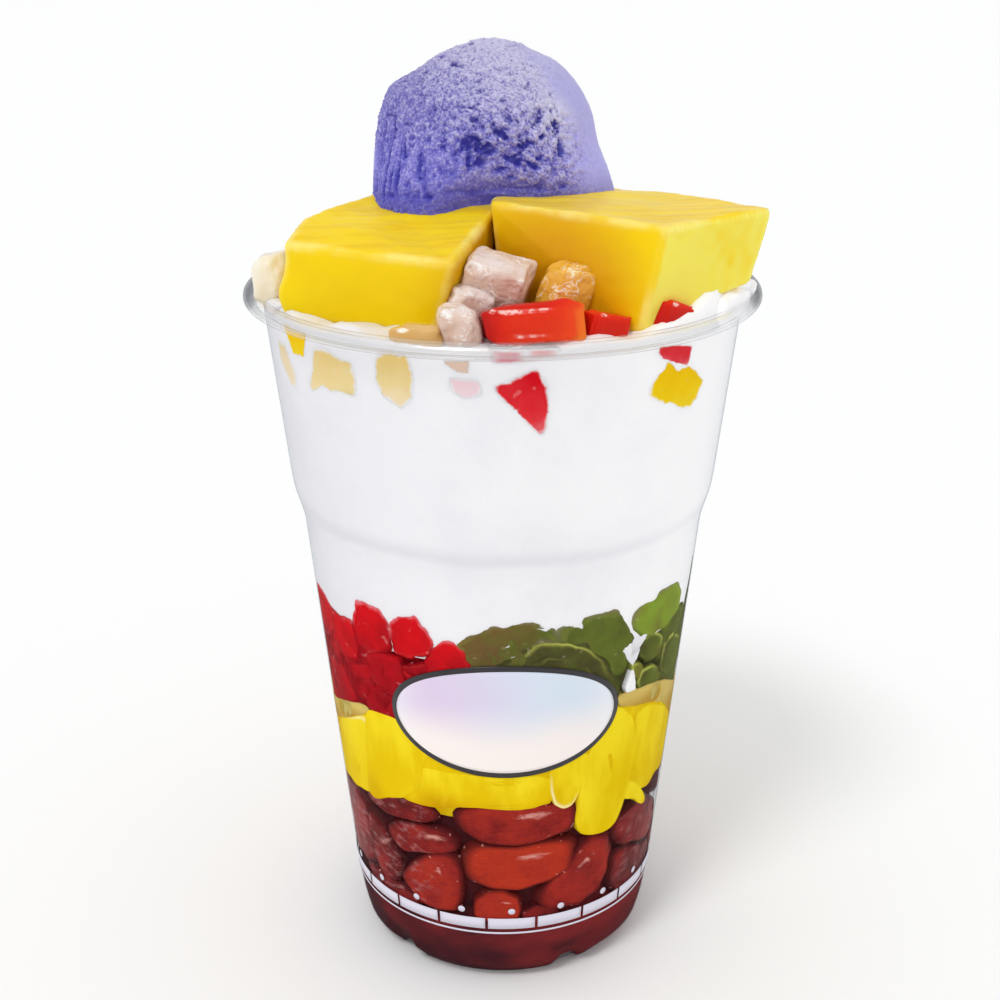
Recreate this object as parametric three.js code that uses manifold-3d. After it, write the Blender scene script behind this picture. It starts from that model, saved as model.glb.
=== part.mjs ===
// Halo halo in a clear plastic cup: red beans, jackfruit, red and green jelly and coconut milk
// in layers, with custard slabs, jelly, palm fruit and a scoop of ube ice cream on top.
//
// Millimetres, +Z up. The origin is on the table, at the middle of the cup's base. An angle on
// the cup is in degrees from the front (-Y), growing towards +X.

import * as THREE from 'three';
import { mergeVertices } from 'three/addons/utils/BufferGeometryUtils.js';
import { ConvexGeometry } from 'three/addons/geometries/ConvexGeometry.js';
import Module from 'manifold-3d';

const wasm = await Module();
wasm.setup();

// ---------------------------------------------------------------- driving dimensions

const SEGMENTS = 40; // facets round the cup
const CORE_SEGMENTS = 14; // facets round the hidden middle of a layer
const WALL = 0.8; // thickness of the cup's wall
const GAP = 0.32; // clearance between pieces that touch

const RIM_RADIUS = 49;
const RIM_TOP = 140;
const RIM_BOTTOM = 136;
const BASE_LIFT = 2.2; // height of the cup's floor above the table
const LEG_INNER = 24.8;
const LEG_OUTER = 27.1;
const LEG_COUNT = 5;
const LEG_ARC = 62; // degrees that one leg spans
const LEG_FIRST = -8; // the middle of the front leg

// The outside of the wall, as radius and height from the base to the rim.
const WALL_LINE = [
  [29.5, BASE_LIFT],
  [30.5, 6],
  [31.5, 12.2],
  [39.55, 94],
  [41.45, 100.4],
  [45.4, RIM_BOTTOM],
];

const SYRUP_TOP = 14; // below this the beans lie sunk in syrup
const BEAN_CORE_TOP = 37;
const FRUIT_BOTTOM = 42;
const FRUIT_TOP = 59;
const JELLY_CORE_TOP = 77;
const JELLY_SPLIT = -12; // the red jelly lies to the left of this angle, the green to the right
const MILK_TOP = 137;

const SCOOP_CENTRE = [-2.4, 9.2];
const SCOOP_BASE = 152.6;
const SCOOP_TOP = 182.4;
const SCOOP_LEFT = 21.9; // radius towards -X
const SCOOP_RIGHT = 23.4; // radius towards +X at the base
const SCOOP_RIGHT_LEAN = 7.5; // how far that side leans in towards the top
const SCOOP_DEPTH = 21.6; // radius towards the front and the back
const SCOOP_SIDES = 28;
const SCOOP_RINGS = 12;
const SCOOP_CRAG = 0.35; // depth of its uneven surface
const SCOOP_NOTCH = { depth: 1.6, at: 0.84, spread: 0.05 }; // dent at the left shoulder

const PIECE_SIDES = 6; // a small piece is a pillow of few faces
const PIECE_RINGS = 4;
const CORE_INSET = 4.5; // how far the hidden middle of a layer stays in from the wall
const PIECE_SQUARE = 0.5; // squareness of a piece against the wall: 1 is round, 0 a box
const BEAN_SQUARE = 0.85;
const GREEN_SQUARE = 0.6;
const MILK_DEPTH = 9; // how far in from the wall the jelly pieces reach into the milk

// ---------------------------------------------------------------- helpers

const rad = THREE.MathUtils.degToRad;

/** A repeatable number from 0 to 1 for a piece's index and a channel. */
const pick = (index, channel) => {
  const value = Math.sin(index * 12.9898 + channel * 78.233) * 43758.5453;
  return value - Math.floor(value);
};

/** A repeatable number from -amount to amount. */
const jitter = (index, channel, amount) => (pick(index, channel) * 2 - 1) * amount;

/** Radius of the cup's outer wall at a height. */
const wallRadius = (z) => {
  const line = WALL_LINE;
  for (let i = 1; i < line.length; i += 1) {
    const [r0, z0] = line[i - 1];
    const [r1, z1] = line[i];
    if (z <= z1) {
      return r0 + ((r1 - r0) * (z - z0)) / (z1 - z0);
    }
  }
  return line[line.length - 1][0];
};

/** Radius of the space inside the cup, less the clearance to its wall. */
const cavity = (z) => wallRadius(z) - WALL - GAP;

/** A closed geometry as a manifold solid, with shared vertices merged. */
const solid = (geometry) => {
  geometry.deleteAttribute('normal');
  geometry.deleteAttribute('uv');
  const merged = mergeVertices(geometry, 1e-4);
  const index = merged.index.array;
  const kept = [];
  for (let i = 0; i < index.length; i += 3) {
    const [a, b, c] = [index[i], index[i + 1], index[i + 2]];
    if (a !== b && b !== c && c !== a) {
      kept.push(a, b, c);
    }
  }
  const vertProperties = merged.attributes.position.array;
  const mesh = new wasm.Mesh({ numProp: 3, vertProperties, triVerts: new Uint32Array(kept) });
  return new wasm.Manifold(mesh);
};

/** A body of revolution about Z from a profile of [radius, height] points. */
const lathe = (profile, segments = SEGMENTS) => {
  const points = profile.map(([r, z]) => new THREE.Vector2(r, z));
  const geometry = new THREE.LatheGeometry(points, segments);
  geometry.rotateX(Math.PI / 2);
  return geometry;
};

/** Moves every vertex of a geometry by a function of its position. */
const reshape = (geometry, move) => {
  const place = geometry.attributes.position;
  const point = new THREE.Vector3();
  for (let i = 0; i < place.count; i += 1) {
    point.fromBufferAttribute(place, i);
    move(point);
    place.setXYZ(i, point.x, point.y, point.z);
  }
  return geometry;
};

/** One solid from several. */
const fuse = (parts) => wasm.Manifold.union(parts);

/** The largest connected body of a solid, without loose scraps. */
const largest = (body) => {
  const bodies = body.decompose();
  bodies.sort((a, b) => b.volume() - a.volume());
  return bodies[0];
};

/** A point of the cup's inside wall: angle, height and depth inwards from the wall. */
const onWall = (point, angle, height, middle) => {
  const around = rad(angle) + point.x / cavity(height);
  const up = height + point.z;
  const radius = cavity(up) - middle - point.y;
  point.set(radius * Math.sin(around), -radius * Math.cos(around), up);
};

/** A squarish pillow with few sides: 1 is round, towards 0 is a box. */
const pillow = (size, squareness) => {
  const power = (value) => {
    const clean = Math.abs(value) < 1e-5 ? 0 : value; // keeps the sphere's seam closed
    return Math.sign(clean) * Math.abs(clean) ** squareness;
  };
  return reshape(new THREE.SphereGeometry(1, PIECE_SIDES, PIECE_RINGS), (p) => {
    p.set(power(p.x) * size[0] / 2, power(p.z) * size[1] / 2, power(p.y) * size[2] / 2);
    p.x *= -1;
  });
};

/** A piece that lies against the cup's wall: bent with it and turned by its tilt. */
const wallPiece = (spec, grow, squareness = PIECE_SQUARE) => {
  const [angle, height, length, tall, depth, tilt] = spec;
  const extra = 2 * grow;
  const shape = pillow([length + extra, depth + extra, tall + extra], squareness);
  shape.rotateY(-rad(tilt));
  reshape(shape, (p) => onWall(p, angle, height, depth / 2));
  return solid(shape);
};

/** A piece with a place, a size and turns about X, Y and Z in degrees. */
const freePiece = (spec, grow) => {
  const { at, size, turn = [0, 0, 0], square = 0.45 } = spec;
  const shape = pillow(size.map((value) => value + 2 * grow), square);
  shape.applyMatrix4(new THREE.Matrix4().makeRotationFromEuler(new THREE.Euler(...turn.map(rad))));
  shape.translate(...at);
  return solid(shape);
};

// ---------------------------------------------------------------- cup

/** The annular leg of one sector, tapering to its flat foot. */
const legs = () => {
  const overlap = BASE_LIFT + 0.3; // reaches into the floor, to fuse with it
  const ring = solid(lathe([
    [LEG_INNER, overlap],
    [LEG_INNER, 0],
    [LEG_OUTER, 0],
    [WALL_LINE[0][0], BASE_LIFT],
    [WALL_LINE[0][0], overlap],
    [LEG_INNER, overlap],
  ]));
  const reach = RIM_RADIUS;
  const sectors = [];
  for (let i = 0; i < LEG_COUNT; i += 1) {
    const middle = LEG_FIRST + (i * 360) / LEG_COUNT;
    const shape = new THREE.Shape();
    shape.moveTo(0, 0);
    for (const side of [-0.5, 0, 0.5]) {
      const turn = rad(middle + side * LEG_ARC);
      shape.lineTo(reach * Math.sin(turn), -reach * Math.cos(turn));
    }
    const wedge = new THREE.ExtrudeGeometry(shape, { depth: overlap + 2, bevelEnabled: false });
    wedge.translate(0, 0, -1);
    sectors.push(solid(wedge));
  }
  return ring.intersect(fuse(sectors));
};

/** The clear cup: floor, stepped wall and rolled rim. */
const cup = () => {
  const inside = WALL_LINE.slice(2).map(([r, z]) => [r - WALL, z + 0.1]).reverse();
  const shell = solid(lathe([
    [0, BASE_LIFT],
    ...WALL_LINE,
    [48.1, RIM_BOTTOM + 0.1],
    [48.8, RIM_BOTTOM + 0.9],
    [RIM_RADIUS, RIM_BOTTOM + 2.2],
    [48.6, RIM_TOP - 0.5],
    [47.6, RIM_TOP],
    [46.0, RIM_TOP],
    [45.0, RIM_TOP - 0.7],
    ...inside,
    [WALL_LINE[0][0] - WALL, BASE_LIFT + WALL],
    [0, BASE_LIFT + WALL],
  ]));
  return shell.add(legs());
};

/** Everything that food may fill: the cup's inside and the space above its rim. */
const foodSpace = () => {
  const floor = BASE_LIFT + WALL + GAP;
  const wall = WALL_LINE.slice(1).map(([, z]) => [cavity(z), z]);
  const beyond = RIM_RADIUS + 10;
  const above = SCOOP_TOP + 10;
  return solid(lathe([
    [0, floor],
    [cavity(floor), floor],
    ...wall,
    [cavity(RIM_TOP), RIM_TOP - 1.6],
    [cavity(RIM_TOP) + 1.3, RIM_TOP + GAP],
    [beyond, RIM_TOP + GAP],
    [beyond, above],
    [0, above],
  ]));
};

/** A plain disc of food inside the wall between two heights. */
const core = (bottom, top, inset, grow, segments = CORE_SEGMENTS) => solid(lathe([
  [0, bottom - grow],
  [cavity(bottom) - inset + grow, bottom - grow],
  [cavity(top) - inset + grow, top + grow],
  [0, top + grow],
], segments));

// ---------------------------------------------------------------- layers

// Pieces against the wall: angle, height, length, tall, depth and tilt.
const FRUIT_FRONT = [
  [-56, 48, 9, 15.5, 7, 8],
  [-37, 50, 14, 18, 7, -8],
  [-10, 47.3, 24, 8.4, 7, 0],
  [10, 47.6, 18, 8, 8, 3],
  [-12, 56, 24, 9, 7, -3],
  [14, 57, 22, 10, 7, 4],
  [33.5, 40.6, 7.6, 13, 6.5, -14],
  [35, 55.5, 14, 19, 7, 6],
  [54, 53.5, 13, 18, 7, -12],
];
const FRUIT_BACK = 9;

const fruitHeap = (grow) => {
  const parts = [core(FRUIT_BOTTOM, FRUIT_TOP, CORE_INSET, grow)];
  const specs = [...FRUIT_FRONT];
  for (let i = 0; i < FRUIT_BACK; i += 1) {
    const angle = 74 + (i * 212) / (FRUIT_BACK - 1);
    const tall = 17 + jitter(i, 1, 2.5);
    specs.push([angle, 50.5 + jitter(i, 2, 1.6), 15, tall, 7, jitter(i, 3, 18)]);
  }
  for (const spec of specs) {
    parts.push(wallPiece(spec, grow));
  }
  return fuse(parts);
};

const BEANS_FRONT = [
  [4, 37.4, 24.5, 8.2, 9, 2],
  [7, 27.9, 25, 9.8, 9, 4],
  [27, 23.2, 20.5, 8.6, 9, 24],
  [-3, 18.6, 15, 7, 8, 0],
  [-33, 28.8, 24, 9, 9, 25],
  [-27, 21.6, 16, 8, 8, 12],
  [-36, 38, 22.5, 8, 9, 6],
  [53, 29.4, 20, 8.6, 9, 28],
  [58, 38, 19, 8.2, 9, 8],
  [50, 19.6, 18, 7.6, 8, 14],
  [-58, 21, 18, 8.4, 9, 34],
  [-63, 32, 19, 8.6, 9, 62],
];
const BEAN_ROWS = [19.4, 28.4, 37.4];
const BEANS_BACK = 5; // beans of each row on the far side

const beanHeap = (grow) => {
  const parts = [
    core(BASE_LIFT + WALL + GAP, SYRUP_TOP, 0.4, 0, SEGMENTS),
    core(SYRUP_TOP - 1, BEAN_CORE_TOP, CORE_INSET, grow),
  ];
  const specs = [...BEANS_FRONT];
  BEAN_ROWS.forEach((row, level) => {
    for (let i = 0; i < BEANS_BACK; i += 1) {
      const n = level * BEANS_BACK + i;
      const angle = 88 + (level % 2) * 12 + i * 41;
      specs.push([angle, row + jitter(n, 4, 1), 22 + jitter(n, 5, 2), 8.8, 9, jitter(n, 6, 20)]);
    }
  });
  for (const spec of specs) {
    parts.push(wallPiece(spec, grow, BEAN_SQUARE));
  }
  return fuse(parts);
};

const RED_FRONT = [
  [-18, 75.5, 10, 9, 8, -14],
  [-27, 79.2, 7.5, 9.6, 8, 30],
  [-40.5, 79, 9.5, 9.8, 8, -12],
  [-54, 74.6, 8.5, 9, 8, 10],
  [-66, 75.4, 9, 9, 8, -24],
  [-25, 68.5, 9, 9, 8, 8],
  [-39, 68.6, 9.5, 9.6, 8, -20],
  [-53, 66, 9, 9, 8, 24],
  [-66, 65.6, 9, 9.5, 8, -6],
  [-36, 62.4, 10, 7, 8, 5],
];
const RED_BACK = 5;

/** The half of the jelly layer on one side of the split, without the pieces. */
const halfCore = (side, grow) => {
  const reach = 100;
  const block = new THREE.BoxGeometry(reach, 2 * reach, reach);
  block.translate(side * (reach / 2 + GAP / 2 - grow), 0, JELLY_CORE_TOP);
  block.rotateZ(rad(JELLY_SPLIT));
  return core(FRUIT_TOP + GAP, JELLY_CORE_TOP, CORE_INSET, grow).intersect(solid(block));
};

const redPieces = () => {
  const specs = [...RED_FRONT];
  for (const [level, row] of [64.5, 74.6].entries()) {
    for (let i = 0; i < RED_BACK; i += 1) {
      const n = 40 + level * RED_BACK + i;
      const angle = -82 - level * 5 - i * 18.5;
      const tall = 10 + jitter(n, 1, 1.2);
      specs.push([angle, row + jitter(n, 2, 1.4), 9.4, tall, 8, jitter(n, 3, 28)]);
    }
  }
  return specs;
};

const redHeap = (grow) => {
  const pieces = redPieces().map((spec) => wallPiece(spec, grow));
  return fuse([halfCore(-1, grow), ...pieces]);
};

const GREEN_FRONT = [
  [0, 77.6, 15, 12.4, 7, 3],
  [24, 77.4, 15, 13.2, 7, -4],
  [49, 78.2, 10, 10.6, 7, 22],
  [63, 77.4, 9, 12, 7, -10],
  [33, 69.5, 9, 11, 7, -24],
  [44.5, 69.6, 6, 7, 6, 30],
  [56, 68.4, 10, 9.5, 7, 12],
  [-2, 69, 14, 9, 7, 0],
  [17, 69, 14, 9, 7, 0],
];
const GREEN_BACK = 5;

const greenPieces = () => {
  const specs = [...GREEN_FRONT];
  for (let i = 0; i < GREEN_BACK; i += 1) {
    const n = 70 + i;
    const angle = 80 + i * 20;
    specs.push([angle, 76.4 + jitter(n, 1, 1.4), 12, 13, 7, jitter(n, 2, 22)]);
    specs.push([angle + 7, 66.6 + jitter(n, 3, 1), 12, 10, 7, jitter(n, 4, 22)]);
  }
  return specs;
};

const greenHeap = (grow) => {
  const pieces = greenPieces().map((spec) => wallPiece(spec, grow, GREEN_SQUARE));
  return fuse([halfCore(1, grow), ...pieces]);
};

// ---------------------------------------------------------------- coconut milk and ice

// Mounds of the milk's top: place, height and spread.
const MOUNDS = [
  [43, -13, 6.8, 8],
  [30, 8, 3, 9],
  [-2, 15, 15, 13.5],
  [-30, 6, 3, 9],
];

/** Height of the milk's top, with soft ripples between the mounds. */
const milkTop = (x, y) => {
  let z = MILK_TOP + 0.35 * Math.sin(x * 0.31 + 1) * Math.cos(y * 0.27);
  for (const [mx, my, tall, spread] of MOUNDS) {
    z += tall * Math.exp(-((x - mx) ** 2 + (y - my) ** 2) / (2 * spread ** 2));
  }
  return z;
};

/** Height of the uppermost jelly pieces round an angle, with room for the pieces' corners. */
const jellyOutline = (angle) => {
  let top = JELLY_CORE_TOP;
  for (const [middle, height, length, tall, , tilt] of [...redPieces(), ...greenPieces()]) {
    const away = Math.abs(THREE.MathUtils.euclideanModulo(angle - middle + 180, 360) - 180);
    const lean = Math.abs(Math.sin(rad(tilt)));
    const half = THREE.MathUtils.radToDeg((length + lean * tall) / 2 / cavity(height));
    if (away < half + 360 / SEGMENTS) {
      top = Math.max(top, height + (tall * Math.cos(rad(tilt)) + lean * length * 0.8) / 2);
    }
  }
  return top + GAP;
};

/** The milk from the jelly up to its uneven top. */
const milkBody = () => {
  const bottom = JELLY_CORE_TOP;
  const edge = cavity(MILK_TOP);
  const wall = [WALL_LINE[3][1], WALL_LINE[4][1], 120, MILK_TOP].map((z) => [cavity(z), z]);
  const rings = [0.94, 0.81, 0.65, 0.47, 0.25, 0].map((share) => [share * edge, MILK_TOP]);
  const shape = lathe([
    [0, bottom],
    [cavity(bottom) - MILK_DEPTH - 2, bottom],
    [cavity(bottom) - MILK_DEPTH, bottom],
    [cavity(bottom), bottom],
    ...wall,
    ...rings,
  ]);
  return solid(reshape(shape, (p) => {
    const radius = Math.hypot(p.x, p.y);
    if (p.z > MILK_TOP - 0.01) {
      p.z = milkTop(p.x, p.y);
    } else if (p.z < bottom + 0.01) {
      const outer = radius > cavity(bottom) - MILK_DEPTH - 1;
      p.z = outer ? jellyOutline(THREE.MathUtils.radToDeg(Math.atan2(p.x, -p.y))) : bottom + GAP;
    }
  }));
};

// ---------------------------------------------------------------- custard slabs

/** A slab between a bottom and a top outline, with its upper edges eased. */
const slab = ({ top, bottom, topHeight, bottomHeight }, grow) => {
  const ease = 0.9; // height of the eased edge
  const inset = 1.2; // and its width
  const middle = top.reduce((sum, [x, y]) => [sum[0] + x / top.length, sum[1] + y / top.length], [0, 0]);
  const spread = ([x, y], amount) => {
    const away = new THREE.Vector2(x - middle[0], y - middle[1]);
    away.setLength(away.length() + amount);
    return [middle[0] + away.x, middle[1] + away.y];
  };
  const points = [];
  const level = (outline, amount, height) => {
    for (const corner of outline) {
      const [x, y] = spread(corner, amount);
      points.push(new THREE.Vector3(x, y, height(corner)));
    }
  };
  level(top, grow - inset, (c) => topHeight(...c) + grow);
  level(top, grow, (c) => topHeight(...c) - ease);
  level(bottom, grow, (c) => bottomHeight(...c) + ease);
  level(bottom, grow - inset, (c) => bottomHeight(...c) - grow);
  return solid(new ConvexGeometry(points));
};

const CUSTARD_LEFT = {
  top: [
    [-37.4, -25], [-8.4, -33.2], [-2.2, -12.5], [-1.8, 14.4], [-24.1, -4], [-35.2, -15.4],
  ],
  bottom: [
    [-37.6, -22.4], [-11.4, -32], [-3.6, -14], [-2.4, 13.5], [-22, -5], [-33.5, -15],
  ],
  topHeight: (x, y) => Math.min(150.5 + 0.2 * (y + 25), 155.2),
  bottomHeight: () => 137.5,
};

const CUSTARD_RIGHT = {
  top: [
    [27.1, -33.9], [46.4, -22.4], [28.9, 0], [12.9, 20.5], [-0.3, 21], [-1.2, -18],
  ],
  bottom: [
    [23.6, -33.8], [43.6, -20.4], [27.5, -1], [12.4, 18.5], [1, 19], [1.2, -18.6],
  ],
  topHeight: (x, y) => Math.min(155 + 0.03 * (y + 34), 155.9),
  bottomHeight: (x) => 137.2 + 0.31 * Math.max(x - 24, 0),
};

// ---------------------------------------------------------------- ube scoop

/** The scoop: a dome whose right side leans in and whose left shoulder has a dent. */
const ubeScoop = (grow) => {
  const tall = SCOOP_TOP - SCOOP_BASE;
  const dome = new THREE.CylinderGeometry(1, 1, 1, SCOOP_SIDES, SCOOP_RINGS);
  dome.rotateX(Math.PI / 2);
  return solid(reshape(dome, (p) => {
    const step = Math.min(Math.max(p.z + 0.5, 0), 1);
    const t = Math.sin((step * Math.PI) / 2) ** 0.9; // share of the height
    const flat = Math.hypot(p.x, p.y) < 0.5 ? 0 : 1;
    const around = Math.atan2(p.y, p.x);
    const right = (Math.cos(around) + 1) / 2;
    const leftSide = SCOOP_LEFT * Math.sqrt(Math.max(1 - t ** 2.9, 0));
    const rightSide = (SCOOP_RIGHT - SCOOP_RIGHT_LEAN * t) * Math.sqrt(Math.max(1 - t ** 4, 0));
    const side = leftSide + (rightSide - leftSide) * right;
    const squash = 1 - (1 - SCOOP_DEPTH / SCOOP_LEFT) * Math.sin(around) ** 2;
    const wave = Math.sin(around * 9 + t * 5) * Math.sin(t * 17 + around * 2);
    const crag = SCOOP_CRAG * wave * (1 - t);
    const near = ((t - SCOOP_NOTCH.at) / SCOOP_NOTCH.spread) ** 2;
    const notch = SCOOP_NOTCH.depth * Math.exp(-near) * (1 - right) ** 3;
    const radius = flat * Math.max(side * squash + crag - notch + grow, 0);
    p.x = SCOOP_CENTRE[0] + radius * Math.cos(around);
    p.y = SCOOP_CENTRE[1] + radius * Math.sin(around);
    p.z = SCOOP_BASE + t * tall + (t > 0.5 ? grow : -grow);
  }));
};

// ---------------------------------------------------------------- toppings

const PIECE_COLOURS = {
  nata: 0xe0cdb8,
  palm: 0xe6cf9a,
  red: 0xd8231c,
  orange: 0xe8921c,
  fruit: 0xf2bd10,
  green: 0x6f8f2c,
};

// Pieces on top of the milk, in the order in which one makes room for the next.
const TOPPINGS = {
  jelly_red_front: { kind: 'red', at: [5.2, -37.6, 139.8], size: [17, 8.4, 8], turn: [8, -6, 4] },
  nata_middle: { kind: 'nata', at: [-1.2, -27.2, 144], size: [11.6, 9, 10.6], turn: [12, 16, -14] },
  nata_middle_low: { kind: 'nata', at: [-6.2, -30.4, 140.8], size: [8, 8, 7], turn: [0, 20, 20] },
  palm_front: { kind: 'palm', at: [-7.2, -38.6, 139.1], size: [7.6, 6.6, 8.4], square: 0.8 },
  jelly_orange_front: { kind: 'orange', at: [10.6, -28.6, 142.2], size: [8.6, 7, 12], turn: [4, 12, 30] },
  jelly_red_small: { kind: 'red', at: [17.4, -34.6, 138.4], size: [8, 4.6, 5], turn: [0, 18, 30] },
  jelly_red_right: { kind: 'red', at: [30, -31.8, 138.2], size: [6.2, 4.6, 6.6], turn: [0, 14, 42] },
  nata_left: { kind: 'nata', at: [-14.4, -39.6, 136.6], size: [9, 4.6, 4.6], turn: [0, 0, -20] },
  palm_left: {
    kind: 'palm', at: [-41.6, -13.4, 142.2], size: [6.6, 8.6, 9.4], square: 0.75, turn: [0, -8, -16],
  },
  palm_left_far: { kind: 'palm', at: [-41.8, -4.6, 141.2], size: [6, 7.6, 7.4], square: 0.8 },
  jelly_red_back: { kind: 'red', at: [-16, 33.6, 141.6], size: [10.4, 8.8, 8.6], turn: [14, 6, 24] },
  nata_back: { kind: 'nata', at: [3.4, 37.2, 141.8], size: [10.8, 9.4, 9.6], turn: [-8, 12, 10] },
  palm_back: { kind: 'palm', at: [18.6, 33, 142], size: [8.6, 7.4, 8.2], square: 0.8 },
  fruit_back: { kind: 'fruit', at: [31.4, 22.6, 141.8], size: [12, 6.4, 8.4], turn: [0, 10, -50] },
  jelly_green_back: { kind: 'green', at: [-30.4, 21.6, 141.4], size: [10, 8, 7.6], turn: [0, -10, 40] },
  jelly_orange_back: { kind: 'orange', at: [-7, 28.2, 146.4], size: [8.6, 7.6, 7], turn: [6, -8, 15] },
};

// Pieces sunk in the milk that show through the wall, as the layers' pieces are given.
const SUNK = {
  fruit_sunk_left: { kind: 'fruit', spec: [-56, 131.4, 5, 6, 5, 20] },
  palm_sunk_left: { kind: 'palm', spec: [-40.5, 130.6, 10, 7.4, 6, -6] },
  palm_sunk_middle: { kind: 'palm', spec: [-23.5, 130.4, 6.8, 8, 6, 10] },
  jelly_red_sunk: { kind: 'red', spec: [6, 128, 8.6, 10.4, 5.6, -34] },
  jelly_red_sunk_right: { kind: 'red', spec: [41.5, 132.4, 7.4, 4.2, 4.6, -4] },
  fruit_sunk_right: { kind: 'fruit', spec: [45, 126.2, 9.6, 7.4, 5, -16] },
  palm_sunk_back: { kind: 'palm', spec: [120, 130.2, 9, 7.4, 6, 8] },
  jelly_red_sunk_back: { kind: 'red', spec: [158, 128.8, 8, 8, 5.6, 24] },
  fruit_sunk_back: { kind: 'fruit', spec: [200, 130.4, 9, 6.6, 5, -18] },
};

// ---------------------------------------------------------------- assembly

const group = new THREE.Group();
const space = foodSpace();

/** Adds a solid to the group as a named mesh. */
const addMesh = (name, body, colour, roughness, extra = {}) => {
  const { vertProperties, triVerts } = body.getMesh();
  const geometry = new THREE.BufferGeometry();
  geometry.setAttribute('position', new THREE.BufferAttribute(vertProperties, 3));
  geometry.setIndex(new THREE.BufferAttribute(triVerts, 1));
  geometry.computeVertexNormals();
  const material = new THREE.MeshStandardMaterial({ color: colour, roughness, metalness: 0, ...extra });
  const mesh = new THREE.Mesh(geometry, material);
  mesh.name = name;
  group.add(mesh);
};

const taken = []; // grown copies of what is already in place

/** Whether two solids share any space. */
const touches = (a, b) => !a.intersect(b).isEmpty();

/** Adds food that makes room for all that is in place, and takes its own room. */
const addFood = (name, make, colour, roughness) => {
  let body = make(0);
  if (body.boundingBox().max[2] > RIM_BOTTOM) {
    body = body.intersect(space);
  }
  const near = taken.filter((other) => touches(body, other));
  if (near.length > 0) {
    body = body.subtract(fuse(near));
  }
  addMesh(name, largest(body), colour, roughness);
  taken.push(make(GAP));
};

addMesh('cup', cup(), 0xeef2f4, 0.08, { transparent: true, opacity: 0.3 });
addFood('jackfruit', fruitHeap, 0xf0c010, 0.3);
addFood('red_beans', beanHeap, 0x7c1a18, 0.3);
addFood('red_jelly', redHeap, 0xc41620, 0.15);
addFood('green_jelly', greenHeap, 0x5c7a26, 0.15);
addFood('custard_left', (grow) => slab(CUSTARD_LEFT, grow), 0xf2cc1a, 0.35);
addFood('custard_right', (grow) => slab(CUSTARD_RIGHT, grow), 0xf2cc1a, 0.35);
for (const [name, topping] of Object.entries(TOPPINGS)) {
  addFood(name, (grow) => freePiece(topping, grow), PIECE_COLOURS[topping.kind], 0.15);
}
for (const [name, { kind, spec }] of Object.entries(SUNK)) {
  addFood(name, (grow) => wallPiece(spec, grow), PIECE_COLOURS[kind], 0.2);
}
addFood('ube_scoop', ubeScoop, 0x7d76c8, 0.75);
addFood('coconut_milk', milkBody, 0xf2f1f4, 0.5);

export default group;
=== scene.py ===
"""Halo halo in a clear plastic cup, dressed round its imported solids.

Sizes in the classes are millimetres, with the origin on the table under the middle of the cup, +Z up
and the front towards -Y. An angle on the cup is in degrees from the front, growing towards +X. A
finished mesh is brought to metres when it becomes an object.
"""

import logging
import math
from collections.abc import Callable, Iterable, Sequence
from dataclasses import dataclass
from enum import Enum

import bmesh
import bpy
from mathutils import Euler, Matrix, Vector, noise


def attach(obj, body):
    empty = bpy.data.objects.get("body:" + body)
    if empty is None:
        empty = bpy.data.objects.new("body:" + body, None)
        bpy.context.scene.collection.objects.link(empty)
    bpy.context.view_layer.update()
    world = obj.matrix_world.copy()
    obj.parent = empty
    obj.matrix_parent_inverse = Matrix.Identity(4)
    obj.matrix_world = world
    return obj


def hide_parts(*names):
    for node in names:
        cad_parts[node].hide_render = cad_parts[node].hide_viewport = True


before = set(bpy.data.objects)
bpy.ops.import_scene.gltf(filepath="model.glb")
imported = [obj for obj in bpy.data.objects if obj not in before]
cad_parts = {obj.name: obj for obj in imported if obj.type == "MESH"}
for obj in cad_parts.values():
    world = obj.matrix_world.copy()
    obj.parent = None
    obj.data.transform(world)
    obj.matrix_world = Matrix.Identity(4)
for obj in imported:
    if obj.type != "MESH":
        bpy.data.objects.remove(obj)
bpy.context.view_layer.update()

MM = 0.001
BODY = "root"
LOG = logging.getLogger("halo_halo")

Colour = tuple[float, float, float]
Point = tuple[float, float, float]
Spec = tuple[float, float, float, float, float]
Corners = tuple[tuple[float, float], ...]
Glances = tuple[tuple[float, float, float, float], ...]
Stops = tuple[tuple[float, Colour], ...]
PEBBLE_LAYERS = ("tone", "rim", "shine")

# How a piece's tone grows upwards, painted light that makes its top lighter, and the direction and half
# angle of the painted highlight caught on its face.
SKY_FALL: Point = (0.0, 0.0, 0.3)
SKY_GLANCE: Glances = ((-0.3, -0.7, 0.62, 0.26),)

# An oval outline's points and its squareness, where 1 is an ellipse. A block's outline as shares of its
# size, and how far its corners stray.
OVAL_STEPS = 28
OVAL_SQUARE = 0.75
CHUNK_MARKS = (
    (-0.5, -0.42), (0.0, -0.52), (0.5, -0.42), (0.54, 0.1), (0.42, 0.5), (-0.1, 0.53), (-0.5, 0.44),
)
CHUNK_ROUGH = 0.14


def srgb(red: int, green: int, blue: int) -> Colour:
    """A colour given in display values from 0 to 255, as linear light."""
    levels = []
    for level in (red, green, blue):
        share = level / 255
        levels.append(share / 12.92 if share <= 0.04045 else ((share + 0.055) / 1.055) ** 2.4)
    return (levels[0], levels[1], levels[2])


def evenly(*colours: Colour) -> Stops:
    """Ramp stops at even distances from 0 to 1."""
    return tuple((i / (len(colours) - 1), colour) for i, colour in enumerate(colours))


def pick(index: int, channel: int) -> float:
    """A repeatable number from 0 to 1 for a piece's index and a channel."""
    value = math.sin(index * 12.9898 + channel * 78.233) * 43758.5453
    return value - math.floor(value)


def jitter(index: int, channel: int, amount: float) -> float:
    """A repeatable number from -amount to amount."""
    return (pick(index, channel) * 2 - 1) * amount


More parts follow.
